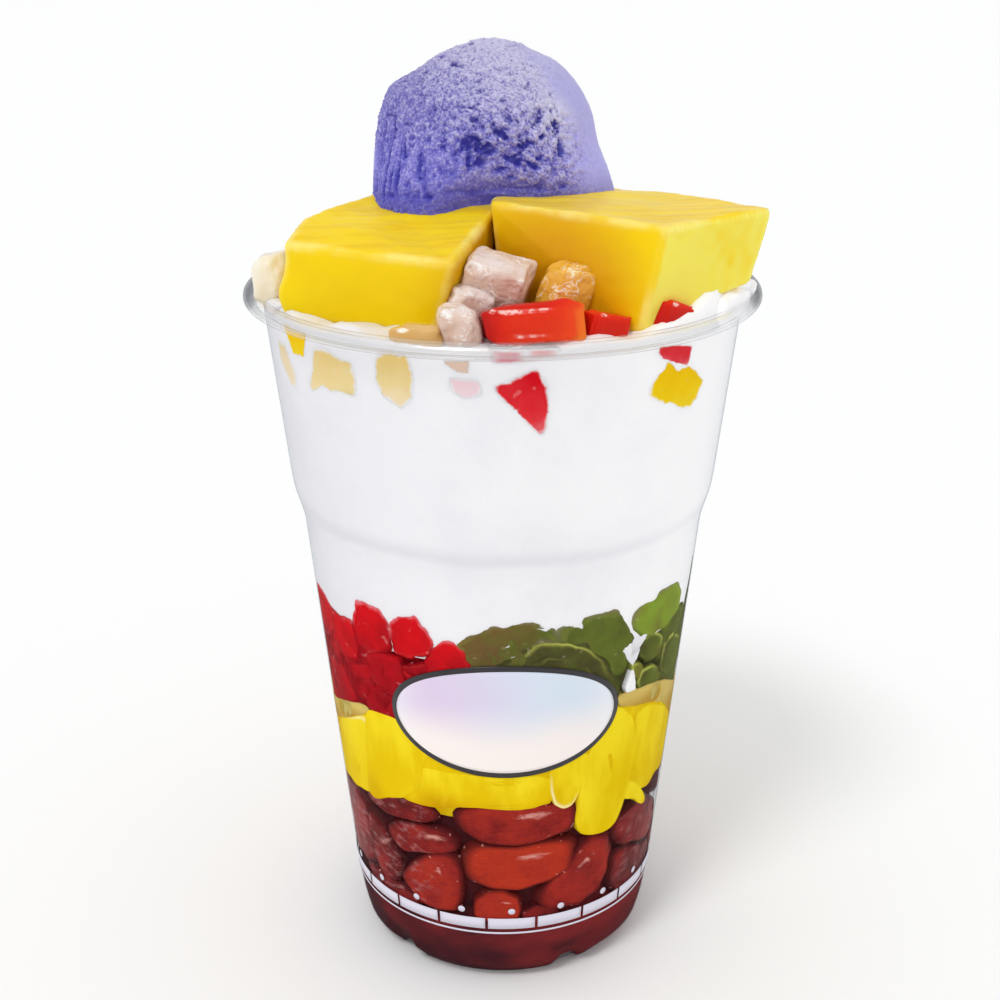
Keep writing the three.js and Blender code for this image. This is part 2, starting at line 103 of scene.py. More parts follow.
def ease(low: float, high: float, value: float) -> float:
    """A smooth step from 0 at low to 1 at high."""
    share = min(max((value - low) / (high - low), 0.0), 1.0)
    return share * share * (3 - 2 * share)


def bell(value: float, middle: float, spread: float) -> float:
    """A bell curve of height 1 round its middle."""
    return math.exp(-(((value - middle) / spread) ** 2))


# ------------------------------------------------------------------------------------- shading


class Val:
    """A shader value: a socket that takes part in Python arithmetic."""

    def __init__(self, graph: "Graph", socket: bpy.types.NodeSocket) -> None:
        """Keeps the socket and the graph that it belongs to."""
        self.graph = graph
        self.socket = socket

    def maths(self, operation: str, first: object, second: object) -> "Val":
        """Adds a Math node.

        Args:
            operation: the Math node's operation.
            first: a Val or a number.
            second: a Val or a number.

        Returns:
            The node's result.
        """
        node = self.graph.add("ShaderNodeMath", {"operation": operation}, {0: first, 1: second})
        return Val(self.graph, node.outputs[0])

    def __add__(self, other: object) -> "Val":
        """This value plus another."""
        return self.maths("ADD", self, other)

    def __radd__(self, other: object) -> "Val":
        """A number plus this value."""
        return self.maths("ADD", other, self)

    def __sub__(self, other: object) -> "Val":
        """This value less another."""
        return self.maths("SUBTRACT", self, other)

    def __rsub__(self, other: object) -> "Val":
        """A number less this value."""
        return self.maths("SUBTRACT", other, self)

    def __mul__(self, other: object) -> "Val":
        """This value times another."""
        return self.maths("MULTIPLY", self, other)

    def __rmul__(self, other: object) -> "Val":
        """A number times this value."""
        return self.maths("MULTIPLY", other, self)

    def __pow__(self, power: object) -> "Val":
        """This value to a power."""
        return self.maths("POWER", self, power)

    def at_most(self, other: object) -> "Val":
        """The smaller of this value and another."""
        return self.maths("MINIMUM", self, other)

    def at_least(self, other: object) -> "Val":
        """The larger of this value and another."""
        return self.maths("MAXIMUM", self, other)

    def between(self, low: float, high: float) -> "Val":
        """Where this value lies between two limits, eased, from 0 to 1."""
        settings = {"interpolation_type": "SMOOTHSTEP"}
        sockets = {"Value": self, "From Min": low, "From Max": high}
        return Val(self.graph, self.graph.add("ShaderNodeMapRange", settings, sockets).outputs[0])

    def band(self, low: float, full: float, fall: float, end: float) -> "Val":
        """A band of values: 0 at low, 1 from full to fall, and 0 again at end."""
        return self.between(low, full) * (1.0 - self.between(fall, end))


class Graph:
    """The node tree of one material."""

    def __init__(self, name: str) -> None:
        """Starts a material with an empty tree."""
        self.material = bpy.data.materials.new(name)
        self.material.use_nodes = True
        self.tree = self.material.node_tree
        self.tree.nodes.clear()
        where = self.add("ShaderNodeTexCoord").outputs["Object"]
        scaled = self.add("ShaderNodeVectorMath", {"operation": "SCALE"}, {0: where, "Scale": 1 / MM})
        self.place = scaled.outputs[0]
        self.under: bpy.types.NodeSocket | None = None

    def add(
        self, kind: str, settings: dict | None = None, sockets: dict | None = None
    ) -> bpy.types.Node:
        """Adds any node.

        Args:
            kind: the node's type.
            settings: its properties, and for a ramp its stops as (place, colour) pairs.
            sockets: values, sockets or Vals for its inputs, by name or number.

        Returns:
            The node.
        """
        node = self.tree.nodes.new(kind)
        for key, value in (settings or {}).items():
            if key == "stops":
                self.set_stops(node.color_ramp, value)
            else:
                setattr(node, key, value)
        for key, value in (sockets or {}).items():
            source = value.socket if isinstance(value, Val) else value
            if isinstance(source, bpy.types.NodeSocket):
                self.tree.links.new(source, node.inputs[key])
            elif isinstance(source, tuple) and node.inputs[key].type == "RGBA":
                node.inputs[key].default_value = (*source, 1.0)
            else:
                node.inputs[key].default_value = source
        return node

    @staticmethod
    def set_stops(ramp: bpy.types.ColorRamp, stops: Stops) -> None:
        """Gives a colour ramp its stops."""
        while len(ramp.elements) < len(stops):
            ramp.elements.new(1.0)
        for element, (position, colour) in zip(ramp.elements, stops, strict=True):
            element.position = position
            element.color = (*colour, 1.0)

    def attribute(self, name: str) -> Val:
        """A number that the mesh carries on its points."""
        return Val(self, self.add("ShaderNodeAttribute", {"attribute_name": name}).outputs["Fac"])

    def stretched(self, stretch: Point) -> bpy.types.NodeSocket:
        """The place in millimetres, squeezed along each axis."""
        node = self.add("ShaderNodeVectorMath", {"operation": "MULTIPLY"}, {0: self.place, 1: stretch})
        return node.outputs[0]

    def noise(
        self, scale: float, detail: float = 2.0, rough: float = 0.5, stretch: Point = (1.0, 1.0, 1.0)
    ) -> Val:
        """Cloudy noise.

        Args:
            scale: features per millimetre.
            detail: octaves.
            rough: share of the finer octaves.
            stretch: factors on the place before the noise is read.

        Returns:
            The noise, from 0 to 1.
        """
        sockets = {"Vector": self.stretched(stretch), "Scale": scale, "Detail": detail, "Roughness": rough}
        return Val(self, self.add("ShaderNodeTexNoise", {}, sockets).outputs[0])

    def axis(self, name: str) -> Val:
        """One coordinate of the place, in millimetres."""
        node = self.add("ShaderNodeSeparateXYZ", {}, {0: self.place})
        return Val(self, node.outputs[name])

    def distance(self, point: Point) -> Val:
        """How far the place is from a point, in millimetres."""
        settings = {"operation": "DISTANCE"}
        node = self.add("ShaderNodeVectorMath", settings, {0: self.place, 1: point})
        return Val(self, node.outputs["Value"])

    def blend(self, share: object, first: object, second: object) -> bpy.types.NodeSocket:
        """A colour between two colours.

        Args:
            share: a Val or number, 0 for the first colour.
            first: a colour or a socket.
            second: a colour or a socket.

        Returns:
            The colour's socket.
        """
        settings = {"data_type": "RGBA"}
        return self.add("ShaderNodeMix", settings, {0: share, 6: first, 7: second}).outputs[2]

    def ramp(self, value: Val, stops: Stops) -> bpy.types.NodeSocket:
        """A colour looked up along a ramp."""
        return self.add("ShaderNodeValToRGB", {"stops": stops}, {0: value}).outputs[0]

    def face_outwards(self) -> None:
        """Lets every later bump start from the direction away from the cup's axis."""
        flat = self.stretched((1.0, 1.0, 0.0))
        settings = {"vector_type": "NORMAL", "convert_from": "OBJECT", "convert_to": "WORLD"}
        self.under = self.add("ShaderNodeVectorTransform", settings, {0: flat}).outputs[0]

    def bump(self, height: Val, depth: float) -> bpy.types.NodeSocket:
        """A bumped normal.

        Args:
            height: the relief, from 0 to 1.
            depth: its depth in millimetres.

        Returns:
            The normal's socket.
        """
        sockets = {"Height": height, "Distance": depth * MM, "Strength": 1.0}
        if self.under is not None:
            sockets["Normal"] = self.under
        return self.add("ShaderNodeBump", {}, sockets).outputs[0]

    def principled(self, sockets: dict) -> bpy.types.NodeSocket:
        """A Principled shader."""
        return self.add("ShaderNodeBsdfPrincipled", {}, sockets).outputs[0]

    def finish(self, shader: bpy.types.NodeSocket) -> bpy.types.Material:
        """Joins the shader to the output and gives the material."""
        self.add("ShaderNodeOutputMaterial", {}, {"Surface": shader})
        return self.material


@dataclass(frozen=True)
class Finish:
    """A named finish and the record's slot that it stands in for."""

    name: str
    slot: str

    def shader(self, graph: Graph) -> bpy.types.NodeSocket:
        """The finish's shader, which each kind of finish gives."""
        raise NotImplementedError

    def material(self) -> bpy.types.Material:
        """The finish as a material, made once."""
        name = self.name + "_finish"
        made = bpy.data.materials.get(name)
        if made is not None:
            return made
        graph = Graph(name)
        return graph.finish(self.shader(graph))


@dataclass(frozen=True)
class ClearPlastic(Finish):
    """Thin clear plastic: see-through, with gloss that grows towards its edges."""

    tint: Colour = srgb(254, 254, 254)
    edge_tint: Colour = srgb(205, 209, 215)
    painted_dark_reflection: Colour = srgb(120, 125, 134)
    painted_dark_reflection_share: float = 0.0
    least_gloss: float = 0.0
    edge_gloss: float = 0.07
    roughness: float = 0.05

    def shader(self, graph: Graph) -> bpy.types.NodeSocket:
        """Transparent film mixed with a glossy face, alike from both sides of a sheet."""
        facing = Val(graph, graph.add("ShaderNodeLayerWeight", {}, {"Blend": 0.5}).outputs["Facing"])
        # Painted shade: the film darkens towards its grazing edges, partly its own absorption, partly
        # standing in for refraction.
        colour = graph.blend(facing**7.0, self.tint, self.edge_tint)
        # Painted reflection: dark crescents on the left and right ends, where a darker surrounding would
        # show.
        if self.painted_dark_reflection_share:
            across = graph.axis("X")
            ends = (across * across).between(45.6**2, 47.0**2) * self.painted_dark_reflection_share
            colour = graph.blend(ends, colour, self.painted_dark_reflection)
        film = graph.add("ShaderNodeBsdfTransparent", {}, {"Color": colour}).outputs[0]
        sockets = {"Color": (1.0, 1.0, 1.0), "Roughness": self.roughness}
        gloss = graph.add("ShaderNodeBsdfGlossy", {}, sockets).outputs[0]
        share = self.least_gloss + (facing**5.0) * self.edge_gloss
        return graph.add("ShaderNodeMixShader", {}, {0: share, 1: film, 2: gloss}).outputs[0]


@dataclass(frozen=True)
class Ink(Finish):
    """Flat printing ink."""

    colour: Colour = srgb(225, 221, 236)
    roughness: float = 0.4

    def shader(self, graph: Graph) -> bpy.types.NodeSocket:
        """Ink with a faint unevenness."""
        cloud = graph.noise(0.35, 3.0)
        colour = graph.blend(cloud * 0.25, self.colour, tuple(0.82 * c for c in self.colour))
        return graph.principled({"Base Color": colour, "Roughness": self.roughness})


@dataclass(frozen=True)
class Pearl(Finish):
    """The pearly face of the oval sticker."""

    lilac: Colour = srgb(222, 205, 232)
    sky: Colour = srgb(214, 226, 240)
    cream: Colour = srgb(250, 240, 236)
    white: Colour = srgb(246, 246, 250)
    middle: float = 63.2
    half_width: float = 22.0
    half_height: float = 12.0

    def shader(self, graph: Graph) -> bpy.types.NodeSocket:
        """Soft clouds of lilac, sky blue and cream."""
        across = graph.axis("X") * (1 / self.half_width)
        up = (graph.axis("Z") - self.middle) * (1 / self.half_height)
        drift = (graph.noise(0.055, 1.0) - 0.5) * 0.9
        top = graph.blend((across + drift).between(-0.75, 0.55), self.lilac, self.sky)
        face = graph.blend((up + drift * 0.5).between(-0.55, 0.35), self.cream, top)
        glow = (across * across).between(0.35, 1.0)
        colour = graph.blend(glow * 0.55, face, self.white)
        return graph.principled({"Base Color": colour, "Roughness": 0.3, "Coat Weight": 0.3})


@dataclass(frozen=True)
class Syrup(Finish):
    """Dark syrup with beans showing dimly in it."""

    dark: Colour = srgb(64, 32, 37)
    light: Colour = srgb(126, 44, 46)
    shadow: Colour = srgb(44, 22, 26)

    def shader(self, graph: Graph) -> bpy.types.NodeSocket:
        """Clouds of darker and redder syrup, darker to the left, with painted shade towards the floor and a
        painted shadow behind the beans.
        """
        cloud = graph.noise(0.09, 2.0, 0.5, (1.0, 1.0, 1.9))
        side = graph.axis("X").between(-26.0, 24.0)
        # Painted shade: darker towards the floor.
        rise = graph.axis("Z").between(5.0, 13.0)
        share = (cloud * 0.9 + side * 0.25 + rise * 0.25).between(0.4, 1.05)
        clear = graph.blend(share, self.dark, self.light)
        # Painted shadow where the syrup lies behind the beans.
        behind = graph.axis("Z").between(15.5, 19.0) * 0.8
        colour = graph.blend(behind, clear, self.shadow)
        return graph.principled({"Base Color": colour, "Roughness": 0.3, "Specular IOR Level": 0.0})


@dataclass(frozen=True)
class BeanSkin(Finish):
    """The skin of cooked red beans, seen through the cup."""

    dark: Colour = srgb(58, 20, 24)
    main: Colour = srgb(146, 40, 38)
    light: Colour = srgb(186, 56, 34)
    painted_highlight: Colour = srgb(232, 168, 158)
    wrinkle: Colour = srgb(172, 118, 118)

    def shader(self, graph: Graph) -> bpy.types.NodeSocket:
        """Red-brown skin, dark along each bean's rim with painted shade, with pale wrinkles, a broken painted
        highlight streak along each bean and painted glints.
        """
        tone = graph.attribute("tone")
        rim = graph.attribute("rim")
        cloud = graph.noise(0.16, 4.0, 0.65)
        fine = graph.noise(0.7, 4.0, 0.65, (1.0, 1.0, 2.6))
        body = graph.blend((tone * 0.5 + cloud * 0.9).between(0.25, 0.85), self.dark, self.main)
        fibre = (cloud * 0.6 + tone * 0.6 + fine * 0.45).between(0.75, 1.25)
        warm = graph.blend(fibre, body, self.light)
        left = graph.axis("X").between(-11.0, -20.0)
        right = graph.axis("X").between(20.0, 26.0)
        creased = graph.noise(0.34, 5.0, 0.65, (1.0, 1.0, 1.8))
        folds = (left + right * 0.6) * creased.between(0.5, 0.66) * 0.6
        dull = graph.blend(folds, warm, self.wrinkle)
        # Painted shade: darker along each bean's rim, where it meets the next.
        deep = graph.blend(rim.between(0.78, 1.04) * 0.85, dull, self.dark)
        # Painted highlight: a broken pale streak along each bean, with painted glints near its rim.
        streak = (graph.attribute("shine") * 0.9 + fine * 0.7).between(0.8, 1.3)
        painted_glints = graph.noise(0.9, 1.0).between(0.72, 0.76) * rim.between(0.7, 0.9) * 0.6
        colour = graph.blend((streak * 0.8 + painted_glints).at_most(1.0), deep, self.painted_highlight)
        relief = graph.bump(creased * (0.4 + left * 0.6) + fine * 0.2, 0.35)
        return graph.principled({
            "Base Color": colour, "Roughness": 0.3, "Normal": relief, "Specular IOR Level": 0.02,
            "Subsurface Weight": 0.08, "Subsurface Scale": 1.2 * MM,
        })


@dataclass(frozen=True)
class Fruit(Finish):
    """Wet yellow jackfruit, amber where it lies deep, as painted shade."""

    deep: Colour = srgb(204, 146, 10)
    main: Colour = srgb(234, 198, 16)
    light: Colour = srgb(250, 224, 40)
    lit: Colour = srgb(255, 244, 190)
    gloss: float = 0.0
    coat: float = 0.0

    def shader(self, graph: Graph) -> bpy.types.NodeSocket:
        """Yellow with soft fibres, amber painted shade along each strip's rim and a painted highlight on a
        lit lip here and there.
        """
        tone = graph.attribute("tone")
        rim = graph.attribute("rim")
        cloud = graph.noise(0.07, 2.0)
        fibre = graph.noise(0.22, 3.0, 0.55, (1.0, 1.0, 0.35))
        body = graph.blend((tone * 0.5 + cloud * 0.8).between(0.15, 0.68), self.deep, self.main)
        pale = graph.blend((fibre * 0.9 + tone * 0.3).between(0.5, 0.9), body, self.light)
        # Painted shade: amber along each strip's rim, between the strips.
        rim_shaded = graph.blend(rim.between(0.96, 1.1) * 0.15, pale, self.deep)
        # Painted highlight: the lit lip of a strip.
        lit = graph.attribute("shine") * (0.6 + fibre * 0.6)
        colour = graph.blend(lit.at_most(1.0), rim_shaded, self.lit)
        creased = graph.bump(fibre * 0.6 + cloud * 0.4, 0.25)
        return graph.principled({
            "Base Color": colour, "Roughness": 0.25, "Normal": creased, "Coat Weight": self.coat,
            "Specular IOR Level": self.gloss,
        })


@dataclass(frozen=True)
class Jelly(Finish):
    """Translucent jelly: its colour runs along a ramp with each piece's tone."""

    stops: Stops
    vary: float = 0.6
    edge: Colour = srgb(236, 90, 88)
    edge_share: float = 0.0
    seam_shade: Colour = srgb(104, 4, 14)
    seam_shade_share: float = 0.0
    seam_from: float = 0.9
    ragged: float = 0.12
    fade: Colour = srgb(236, 150, 160)
    fade_height: float = 400.0
    melt: Finish | None = None
    melt_below: float = 9.0
    waves: float = 0.0
    fleck: float = 0.0
    glint: float = 0.0
    glow: Point = (1.0, 0.2, 0.15)
    glow_depth: float = 1.5
    glow_share: float = 0.2
    roughness: float = 0.2
    relief: float = 0.4
    gloss: float = 0.0
    coat: float = 0.0

    def shader(self, graph: Graph) -> bpy.types.NodeSocket:
        """Cloudy jelly with painted shade in dark seams along each lump's rim, a painted lit edge here and
        there and small painted glints.
        """
        if self.melt is not None:
            graph.face_outwards()
        tone = graph.attribute("tone")
        cloud = graph.noise(0.2, 3.0, 0.55)
        rim = graph.attribute("rim") + (graph.noise(0.5, 3.0) - 0.5) * self.ragged
        body = graph.ramp((tone + (cloud - 0.5) * self.vary).at_least(0.0), self.stops)
        high = graph.axis("Z").between(self.fade_height, self.fade_height + 2.5)
        # Painted shade: the dark seams along each lump's rim, between the lumps; above the fade height they
        # take the milk's pink instead.
        border = graph.blend(high, self.seam_shade, self.fade)
        seamed = graph.blend(rim.between(self.seam_from, 1.08) * self.seam_shade_share, body, border)
        # Painted highlights: a broken lit line along the rim and the light caught on each piece's face,
        # broken into flecks.
        line = rim.band(0.8, 0.88, 0.92, 0.99)
        broken = graph.noise(0.16, 2.0).between(0.46, 0.58)
        glance = graph.attribute("shine") * 0.9
        if self.fleck:
            flecks = graph.noise(0.9, 4.0, 0.65).between(0.46, 0.58)
            glance = glance * (flecks * self.fleck + (1.0 - self.fleck))
        shine = (line * broken * self.edge_share + glance).at_most(1.0)
        lit = graph.blend(shine, seamed, self.edge)
        # Painted glints, and for wet pieces painted curls of light on their rippled faces.
        spots = graph.noise(0.6, 1.0).between(0.7, 0.75) * self.glint
        if self.waves:
            ripple = graph.noise(0.27, 2.0, 0.5, (1.0, 1.0, 1.3))
            curl = ripple.band(0.455, 0.475, 0.48, 0.505) + ripple.band(0.535, 0.55, 0.555, 0.575)
            spots = (spots + curl * graph.noise(0.3, 2.0).between(0.44, 0.56) * self.waves).at_most(1.0)
        colour = graph.blend(spots, lit, tuple(0.4 + 0.6 * c for c in self.edge))
        dimples = graph.bump(graph.noise(0.3, 2.0, 0.5) * 0.7 + graph.noise(1.1, 2.0) * 0.3, self.relief)
        own = graph.principled({
            "Base Color": colour, "Roughness": self.roughness, "Normal": dimples,
            "Specular IOR Level": self.gloss, "Coat Weight": self.coat, "Coat Roughness": 0.04,
            "Subsurface Weight": self.glow_share, "Subsurface Radius": self.glow,
            "Subsurface Scale": self.glow_depth * MM, "IOR": 1.36,
        })
        if self.melt is None:
            return own
        share = rim.between(self.seam_from, 1.02) * (self.melt_below - tone).between(0.0, 0.3)
        melted = self.melt.shader(graph)
        return graph.add("ShaderNodeMixShader", {}, {0: share, 1: own, 2: melted}).outputs[0]


@dataclass(frozen=True)
class Milk(Finish):
    """Coconut milk over fine ice."""

    white: Colour = srgb(249, 248, 251)
    shade: Colour = srgb(228, 227, 233)
    through: Colour = (0.09, 0.09, 0.09)
    step_height: float = 97.4
    fold_above: float = 2.0
    fold_below: float = 3.0

    def shader(self, graph: Graph) -> bpy.types.NodeSocket:
        """Soft white clouds, darker to the left with painted shade and along the step with a painted shadow
        line, with a painted glow of light through the right.
        """
        cloud = graph.noise(0.035, 3.0, 0.5)
        fine = graph.noise(0.5, 3.0, 0.6)
        height = graph.axis("Z") + (cloud - 0.5) * 3.0
        fold = self.step_height
        # Painted shadow: a faint grey line along the wall's step.
        step = height.band(fold - self.fold_above, fold, fold, fold + self.fold_below)
        # Painted shade: darker towards the left.
        side = graph.axis("X").between(12.0, -38.0)
        share = (cloud * 0.9 + fine * 0.1).between(0.4, 0.75) * 0.5 + side * 0.6 + step * 0.4
        colour = graph.blend(share.at_most(1.0), self.white, self.shade)
        # Painted glow: emission standing in for light through the milk on the right.
        through = graph.blend(graph.axis("X").between(4.0, 30.0), (0.0, 0.0, 0.0), self.through)
        grain = graph.bump(fine * 0.7 + graph.noise(1.6, 2.0) * 0.3, 0.12)
        return graph.principled({
            "Base Color": colour, "Roughness": 0.38, "Normal": grain, "Specular IOR Level": 0.12,
            "Emission Color": through, "Emission Strength": 1.0,
            "Subsurface Weight": 0.4, "Subsurface Radius": (1.0, 0.95, 0.9),
            "Subsurface Scale": 1.5 * MM,
        })


@dataclass(frozen=True)
class CustardFinish(Finish):
    """Smooth baked custard, streaked on top, with painted highlights that make it pale along its cut edges.
    """

    main: Colour = srgb(251, 216, 6)
    streak: Colour = srgb(230, 186, 10)
    pale: Colour = srgb(255, 242, 160)
    face: Colour = srgb(250, 236, 100)
    warm: Colour = srgb(214, 142, 18)
    cleft_shade_place: Point = (6.0, -27.0, 142.0)
    cleft_shade_reach: float = 24.5

    def shader(self, graph: Graph) -> bpy.types.NodeSocket:
        """Yellow custard, warmer in the cleft between the slabs with painted shade, lighter on its right face
        with painted light.
        """
        rim = graph.attribute("rim")
        top = graph.attribute("top")
        cloud = graph.noise(0.05, 2.0)
        knife = graph.noise(0.4, 4.0, 0.6, (0.16, 0.9, 0.5))
        body = graph.blend((cloud * 0.8).between(0.25, 0.6) * 0.3, self.main, self.streak)
        # Painted light: the right face is lighter.
        right = graph.attribute("side") * (0.55 + cloud * 0.7)
        faced = graph.blend(right.at_most(1.0), body, self.face)
        streaked = graph.blend(top * knife.between(0.4, 0.66) * 0.6, faced, self.streak)
        # Painted shade: warm orange in the cleft between the slabs.
        away = graph.distance(self.cleft_shade_place)
        near = away.between(self.cleft_shade_reach, self.cleft_shade_reach * 0.3) * (1.0 - top)
        cleft_shaded = graph.blend(near * 0.75, streaked, self.warm)
        # Painted highlights: broken pale lines along the cut edges.
        wet = graph.noise(0.13, 2.0, 0.5).between(0.36, 0.62)
        colour = graph.blend(rim * (0.06 + wet * 0.5), cleft_shaded, self.pale)
        pores = graph.noise(0.9, 3.0, 0.6)
        relief = graph.bump(pores * 0.25 + knife * top * 0.8, 0.22)
        return graph.principled({
            "Base Color": colour, "Roughness": 0.3, "Normal": relief, "Coat Weight": 0.06,
            "Coat Roughness": 0.12, "Specular IOR Level": 0.1, "Subsurface Weight": 0.25,
            "Subsurface Radius": (1.0, 0.7, 0.12), "Subsurface Scale": 2.5 * MM,
        })


@dataclass(frozen=True)
class UbeFinish(Finish):
    """Frosty granular ube ice cream, with painted shade in its crevices."""

    pit: Colour = srgb(60, 54, 146)
    main: Colour = srgb(122, 116, 194)
    frost: Colour = srgb(222, 218, 246)
    smooth: Colour = srgb(182, 179, 238)
    shine_place: Point = (11.5, -7.0, 170.5)
    shine_reach: float = 7.5
    glow: Colour = (0.012, 0.014, 0.13)

    def shader(self, graph: Graph) -> bpy.types.NodeSocket:
        """Purple granules with frost on their tops, lighter up and to the right with painted light, with a
        painted highlight, painted shade at the foot and a painted blue glow low down.
        """
        crag = graph.attribute("crag")
        calm = graph.attribute("calm")
        grain = graph.noise(1.9, 3.0, 0.7)
        coarse = graph.noise(0.8, 2.0, 0.5)
        cloud = graph.noise(0.08, 2.0)
        # Painted light: a share that grows up and to the right.
        rise = (graph.axis("Z") * 0.6 + graph.axis("X") * 0.4).between(92.0, 114.0)
        # Painted shade: darker in the crevices between the granules.
        depth = crag + (grain - 0.5) * 1.1 + (coarse - 0.5) * 0.5
        body = graph.blend(depth.between(0.2, 0.9), self.pit, self.main)
        # Frost on the granules' tops, partly real frost and partly painted light, stronger up and to the
        # right.
        high = (crag * 0.4 + grain * 1.0 + coarse * 0.3 + rise * 0.3).between(0.92, 1.34)
        frosted = graph.blend(high * 0.9, body, self.frost)
        smoothed = graph.blend(calm * (0.35 + cloud * 0.35 + rise * 0.4), frosted, self.smooth)
        # Painted highlight: a whitish patch near the shine place.
        near = graph.distance(self.shine_place).between(self.shine_reach, 1.0)
        near = near * crag.between(0.5, 0.9) * (0.25 + grain * 0.9)
        colour = graph.blend((near * 0.8).at_most(1.0), smoothed, (0.86, 0.86, 0.99))
        relief = graph.bump(grain * 0.6 + coarse * 0.4, 0.85)
        # Painted glow: blue emission that fades upwards from the foot.
        low = graph.axis("Z").between(178.0, 158.0)
        glow = graph.blend(low, (0.0, 0.0, 0.0), self.glow)
        # Painted shade: darker at the foot, where the scoop sits on the custard.
        dark = graph.axis("Z").between(160.5, 155.5) * (0.6 - calm * 0.3)
        colour = graph.blend(dark, colour, self.pit)
        return graph.principled({
            "Base Color": colour, "Roughness": 0.5, "Normal": relief, "Subsurface Weight": 0.1,
            "Emission Color": glow, "Emission Strength": 1.0,
            "Subsurface Radius": (0.7, 0.6, 1.0), "Subsurface Scale": 1.0 * MM,
            "Specular IOR Level": 0.3, "Coat Weight": 0.1, "Coat Roughness": 0.3,
        })


@dataclass(frozen=True)
class FloorFinish(Finish):
    """A plain pale studio floor."""

    colour: Colour = (0.965, 0.97, 0.97)

    def shader(self, graph: Graph) -> bpy.types.NodeSocket:
        """Matt near-white paint."""
        return graph.principled({"Base Color": self.colour, "Roughness": 0.9})


CLEAR = ClearPlastic("clear_plastic", "clear_cup")
# The rim's film: a darker painted edge shade and a painted dark reflection on its left and right ends.
CLEAR_RIM = ClearPlastic(
    "clear_plastic_rim", "clear_cup", edge_tint=srgb(176, 180, 188), painted_dark_reflection_share=0.6, least_gloss=0.13,
    edge_gloss=0.35, roughness=0.24,
)
WHITE_INK = Ink("white_ink", "cup_print")
DARK_INK = Ink("dark_ink", "cup_print", srgb(34, 30, 36), 0.35)
PEARL = Pearl("pearl_sticker", "cup_print")
SYRUP = Syrup("bean_syrup", "bean_syrup")
BEAN = BeanSkin("bean_skin", "red_beans")
FRUIT = Fruit("jackfruit_flesh", "jackfruit")
FRUIT_WET = Fruit("jackfruit_wet", "jackfruit", gloss=0.5, coat=0.5)
MILK = Milk("coconut_milk", "coconut_milk")


def wet(name: str, slot: str, stops: Stops, vary: float, **fields: object) -> Jelly:
    """The finish of a wet piece over the rim."""
    return Jelly(name, slot, stops, vary, **({"glow_share": 0.3, "gloss": 0.3, "coat": 0.4} | fields))


def in_milk(name: str, slot: str, stops: Stops, vary: float, **fields: object) -> Jelly:
    """The finish of a piece that lies in the milk and melts into it at its rim."""
    return Jelly(name, slot, stops, vary, **({"seam_from": 0.86, "ragged": 0.3, "melt": MILK} | fields))


RED = Jelly(
    "red_jelly", "red_jelly", ((0.0, srgb(104, 8, 18)), (0.45, srgb(166, 24, 32)), (1.0, srgb(212, 24, 32))),
    vary=1.1, edge=srgb(232, 74, 70), edge_share=0.15, seam_shade=srgb(96, 2, 14), seam_shade_share=0.6, seam_from=0.84,
    ragged=0.25, fade_height=77.5, glint=0.2,
)
RED_WET = wet(
    "red_jelly_wet", "red_jelly",
    (
        (0.0, srgb(178, 16, 20)), (0.4, srgb(222, 40, 22)), (0.75, srgb(236, 74, 30)),
        (1.0, srgb(246, 138, 44)),
    ),
    0.25, edge=srgb(255, 214, 204), fleck=0.85, glow_share=0.25, glow_depth=2.0, roughness=0.1, relief=0.5,
    gloss=0.1, coat=0.12,
)
RED_SUNK = in_milk(
    "red_jelly_in_milk", "red_jelly", evenly(srgb(214, 22, 34), srgb(226, 58, 66), srgb(240, 150, 160)), 0.7,
    glint=0.2,
)
GHOST = in_milk(
    "red_through_rim", "red_jelly", evenly(srgb(222, 70, 96), srgb(238, 150, 150)), 0.8, seam_from=0.4,
    ragged=0.5,
)
BLUSH = in_milk(
    "red_through_milk", "red_jelly", evenly(srgb(240, 204, 210), srgb(240, 222, 228)), 0.8, seam_from=0.7,
    ragged=0.4,
)
GREEN = Jelly(
    "green_jelly", "green_jelly",
    (
        (0.0, srgb(46, 50, 26)), (0.25, srgb(80, 78, 44)), (0.5, srgb(100, 112, 48)),
        (0.7, srgb(114, 90, 54)), (1.0, srgb(132, 156, 56)),
    ),
    vary=0.5, edge=srgb(190, 196, 92), edge_share=0.12, seam_shade=srgb(54, 60, 28), seam_shade_share=0.5, ragged=0.2,
    fade=srgb(150, 138, 112), fade_height=78.0, glint=0.15, glow=(0.7, 1.0, 0.3),
)
GREEN_WET = wet(
    "green_jelly_wet", "green_jelly", evenly(srgb(84, 104, 36), srgb(128, 154, 50)), 0.8,
    edge=srgb(216, 222, 150), waves=0.7, glow=(0.7, 1.0, 0.3), roughness=0.06, relief=0.6,
)
ORANGE = wet(
    "orange_jelly", "orange_jelly", evenly(srgb(206, 138, 22), srgb(238, 180, 66)), 0.9,
    edge=srgb(255, 240, 200), waves=0.8, fleck=0.8, glow=(1.0, 0.5, 0.15), glow_depth=3.0, glow_share=0.2,
    roughness=0.06, relief=1.1,
)
NATA = wet(
    "nata", "nata", evenly(srgb(196, 146, 112), srgb(224, 196, 180), srgb(234, 218, 212)), 1.3,
    edge=srgb(255, 250, 248), waves=0.6, fleck=0.7, glow=(1.0, 0.8, 0.65), glow_depth=3.0, roughness=0.08,
    relief=1.2,
)
PALM = wet(
    "palm_fruit", "palm_fruit", evenly(srgb(224, 204, 164), srgb(242, 232, 210)), 1.0,
    edge=srgb(252, 248, 238), waves=0.3, fleck=0.7, glow=(1.0, 0.8, 0.5), glow_depth=3.0, roughness=0.1,
    relief=0.5,
)
AMBER = wet(
    "palm_fruit_amber", "palm_fruit", evenly(srgb(214, 166, 92), srgb(236, 204, 144)), 0.9,
    edge=srgb(255, 250, 236), fleck=0.7, glow=(1.0, 0.7, 0.4), roughness=0.1,
)
